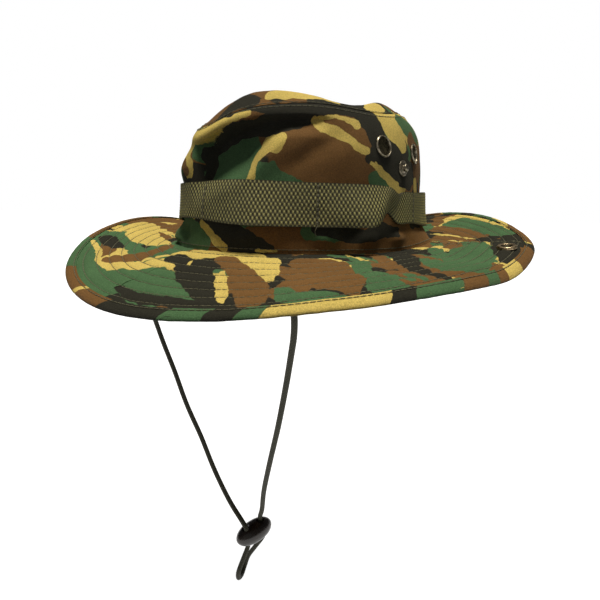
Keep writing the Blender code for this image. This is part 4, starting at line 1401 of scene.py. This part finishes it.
def smooth_curve(points, step):
    """Points at even steps along a smooth curve through the route."""
    padded = [2 * points[0] - points[1]] + points + [2 * points[-1] - points[-2]]
    fine = []
    for a, b, c, d in zip(padded, padded[1:], padded[2:], padded[3:]):
        for i in range(12):
            t = i / 12
            bend = (2 * a - 5 * b + 4 * c - d) * t**2 + (3 * b - a - 3 * c + d) * t**3
            fine.append(0.5 * (2 * b + (c - a) * t + bend))
    fine = np.array([tuple(p) for p in fine + [points[-1]]])
    length = np.concatenate([[0], np.cumsum(np.linalg.norm(np.diff(fine, axis=0), axis=1))])
    even = np.linspace(0, length[-1], round(length[-1] / step) + 1)
    return [Vector(p) for p in np.stack([np.interp(even, length, fine[:, i]) for i in range(3)], -1)]


def slider_frame():
    """The slider's own frame: X along its length, Z along its two holes."""
    turn = Matrix.Rotation(SLIDER_TURN, 4, "Z") @ Matrix.Rotation(-SLIDER_TILT, 4, "Y")
    return Matrix.Translation(SLIDER_CENTRE) @ turn


def tab_exit(side):
    """Where the cord leaves its tab: the middle of the tab's outer end."""
    depth = BRIM_THICK + TAB_GAP + TAB / 2
    place = brim(np.array(TAB_ANGLES[side]), np.array(TAB_OUT[1] + TAB_EXIT), depth, relief=False)
    return Vector(place.tolist())


def hole_points(side):
    """The straight run of cord through one of the slider's holes, top first."""
    return [slider_frame() @ Vector((side * SLIDER_HOLE_OUT, 0, height)) for height in (0.0095, 0.003, -0.003, -0.0095)]


def cord_route():
    points = [tab_exit("right")] + [Vector(p) for p in RIGHT_STRAND]
    points += hole_points(-1) + [Vector(p) for p in TAIL_LOOP] + list(reversed(hole_points(1)))
    return points + [Vector(p) for p in LEFT_STRAND] + [tab_exit("left")]


def make_cord():
    centres = smooth_curve(cord_route(), 0.00055 / FINE)
    length = sum((b - a).length for a, b in zip(centres, centres[1:]))
    sides = int(28 * FINE) // 2 * 2
    along = np.linspace(0, length, len(centres))[:, None]
    round_it = np.arange(sides)[None, :] * 2 * math.pi / sides
    wave = math.pi * along / 0.0022
    pattern = np.cos(3 * round_it + wave) * np.cos(3 * round_it - wave)
    place = np.broadcast_arrays(along * 30, np.cos(round_it), np.sin(round_it))
    fuzz = rough(np.stack(place, -1), 0.3, 81, 2)
    radii = CORD / 2 * (0.965 + 0.060 * np.abs(pattern) ** 0.7 + 0.020 * fuzz)
    # The strand mark is high on the raised strands and low in the grooves between them, where it paints shade
    piece = tube("braided_chin_cord", centres, radii, sides, BRAID, {"strand_and_groove_shade": np.abs(pattern)})
    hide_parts("chin_cord")
    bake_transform(piece)
    slider = make_slider()


def make_slider():
    shape = bmesh.new()
    bmesh.ops.create_uvsphere(shape, u_segments=96, v_segments=64, radius=1)
    bmesh.ops.transform(shape, matrix=Matrix.Rotation(math.pi / 2, 4, "Y"), verts=shape.verts)
    place = slider_frame()
    for vertex in shape.verts:
        x, y, z = vertex.co
        full = 1.0 + 0.10 * (1 - x * x) * x * x
        vertex.co = place @ Vector((x * SLIDER_HALF[0], y * full * SLIDER_HALF[1], z * full * SLIDER_HALF[2]))
    points = np.array([tuple(v.co) for v in shape.verts])
    faces = [tuple(v.index for v in face.verts) for face in shape.faces]
    shape.free()
    bead = build("slider_bead", points, faces, PLASTIC)
    depth, wide = SLIDER_HALF[2], SLIDER_BORE
    mouth = depth * 0.80
    profile = (
        (0, -2 * depth),
        (wide + 0.0012, -2 * depth),
        (wide + 0.0012, -mouth - 0.0014),
        (wide, -mouth + 0.0004),
        (wide, mouth - 0.0004),
        (wide + 0.0012, mouth + 0.0014),
        (wide + 0.0012, 2 * depth),
        (0, 2 * depth),
    )
    cut(bead, [profile] * 2, [place @ Matrix.Translation((side * SLIDER_HOLE_OUT, 0, 0)) for side in (-1, 1)])
    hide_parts("cord_slider")
    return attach(bead, "slider")


def make_tab(side):
    """The folded cloth tab under the brim that the cord's end is sewn into."""
    low, thick = CLOTH_THICK + 0.0002, BRIM_THICK + TAB_GAP + TAB - CLOTH_THICK - 0.0002
    middle_out, half_out = sum(TAB_OUT) / 2, (TAB_OUT[1] - TAB_OUT[0]) / 2
    turn = np.linspace(0, 2 * math.pi, 41)[:-1]
    round_out = middle_out + half_out * np.sign(np.cos(turn)) * np.abs(np.cos(turn)) ** 0.35
    round_low = low + thick / 2 - thick / 2 * np.sign(np.sin(turn)) * np.abs(np.sin(turn)) ** 0.6
    shares = np.array([-1, -0.985, -0.93, -0.8, -0.5, 0, 0.5, 0.8, 0.93, 0.985, 1])
    shrink = np.array([0.80, 0.90, 0.97, 1, 1, 1, 1, 1, 0.97, 0.90, 0.80])
    rings = []
    for share, size in zip(shares, shrink):
        angle = TAB_ANGLES[side] + share * TAB_HALF_ANGLE + 0 * turn
        out = middle_out + (round_out - middle_out) * size
        depth = low + thick / 2 + (round_low - low - thick / 2) * size
        rings.append(brim(angle, out, depth, relief=False))
    grid = np.array(rings)
    index = np.arange(grid.shape[0] * grid.shape[1]).reshape(grid.shape[:2])
    after = np.roll(index, -1, 1)
    quads = np.stack([index[:-1], index[1:], after[1:], after[:-1]], -1).reshape(-1, 4)
    faces = quads.tolist() + [tuple(index[0].tolist()), tuple(index[-1][::-1].tolist())]
    marks = camouflage(grid * 1000, seed=700)
    marks["weave_u"], marks["weave_v"] = 1000 * grid[..., 0], 1000 * grid[..., 1]
    tab = build(f"cord_tab_{side}", grid.reshape(-1, 3), faces, CLOTH, marks)
    outward_facing(tab)
    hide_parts(f"chin_cord_tab_{side}")
    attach(tab, "hat")
    lines = []
    angle = np.linspace(-0.85, 0.85, 12) * TAB_HALF_ANGLE + TAB_ANGLES[side]
    face = partial(brim, below=low + thick, relief=False)
    for out in (0.0065, 0.0155):
        lines.append(sewn(face, angle, 0 * angle + out, DOWNWARD, 0.0024))
    thread = stitches(f"cord_tab_stitching_{side}", lines, DARK_THREADS)
    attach(thread, "hat")


# Floor, light and camera

FLOOR_HEIGHT = -0.42
CAMERA_AT = (0.2098, -0.2405, 0.0230)
CAMERA_ALONG = (-0.6545, 0.7258, -0.2118)
CAMERA_UP = (-0.1575, 0.1431, 0.9771)
LENS = 24.406  # mm
SENSOR = 36  # mm
AMBIENT = 0.080


def make_set():
    floor = bpy.data.meshes.new("floor")
    wide = 40
    around = ((-wide, -wide), (wide, -wide), (wide, wide), (-wide, wide))
    floor.from_pydata([(x, y, FLOOR_HEIGHT) for x, y in around], [], [(0, 1, 2, 3)])
    pale, _, shader = principled("pale floor", 0.9, colour=(0.3, 0.3, 0.3))
    shader.inputs["Specular IOR Level"].default_value = 0.0
    shader.inputs["Emission Color"].default_value = (1, 1, 1, 1)
    shader.inputs["Emission Strength"].default_value = 1.0
    floor.materials.append(pale)
    ground = bpy.data.objects.new("floor", floor)
    bpy.context.scene.collection.objects.link(ground)
    ground.visible_diffuse = False

    world = bpy.data.worlds.new("studio")
    bpy.context.scene.world = world
    world.use_nodes = True
    nodes, links = world.node_tree.nodes, world.node_tree.links
    # The camera sees a white background, and the hat gets only this little light from it
    shown, ambient = nodes["Background"], nodes.new("ShaderNodeBackground")
    shown.inputs["Color"].default_value = (1, 1, 1, 1)
    shown.inputs["Strength"].default_value = 1.0
    ambient.inputs["Color"].default_value = (1, 1, 1, 1)
    ambient.inputs["Strength"].default_value = AMBIENT
    rays, chosen = nodes.new("ShaderNodeLightPath"), nodes.new("ShaderNodeMixShader")
    links.new(rays.outputs["Is Camera Ray"], chosen.inputs[0])
    links.new(ambient.outputs[0], chosen.inputs[1])
    links.new(shown.outputs[0], chosen.inputs[2])
    links.new(chosen.outputs[0], nodes["World Output"].inputs["Surface"])

    add_sun("key light", azimuth=60, elevation=84, strength=3.55, spread=18)
    add_sun("fill light", azimuth=38, elevation=22, strength=0.15, spread=60)

    along, up = Vector(CAMERA_ALONG).normalized(), Vector(CAMERA_UP)
    right = along.cross(up).normalized()
    up = right.cross(along)
    camera = bpy.data.cameras.new("camera")
    camera.lens, camera.sensor_width = LENS, SENSOR
    camera.clip_start, camera.clip_end = 0.01, 100
    made = bpy.data.objects.new("camera", camera)
    made.matrix_world = Matrix.Translation(CAMERA_AT) @ Matrix((right, up, -along)).transposed().to_4x4()
    bpy.context.scene.collection.objects.link(made)
    bpy.context.scene.camera = made
    bpy.context.scene.view_settings.view_transform = "Standard"


def add_sun(name, azimuth, elevation, strength, spread):
    """A soft distant light. Azimuth 0 comes from the front of the hat and 90 from the wearer's left."""
    light = bpy.data.lights.new(name, "SUN")
    light.energy = strength
    light.color = (1.0, 0.95, 0.86)
    light.angle = math.radians(spread)
    a, e = math.radians(azimuth), math.radians(elevation)
    back = Vector((math.sin(a) * math.cos(e), -math.cos(a) * math.cos(e), math.sin(e)))
    made = bpy.data.objects.new(name, light)
    made.rotation_mode = "QUATERNION"
    made.rotation_quaternion = (-back).to_track_quat("-Z", "Y")
    bpy.context.scene.collection.objects.link(made)


make_brim()
make_crown()
make_lining()
make_band()
for side in ("left", "right"):
    make_snap(side)
    make_stud(side)
    make_tab(side)
for name in VENTS:
    make_vent(name)
make_cord()
make_set()
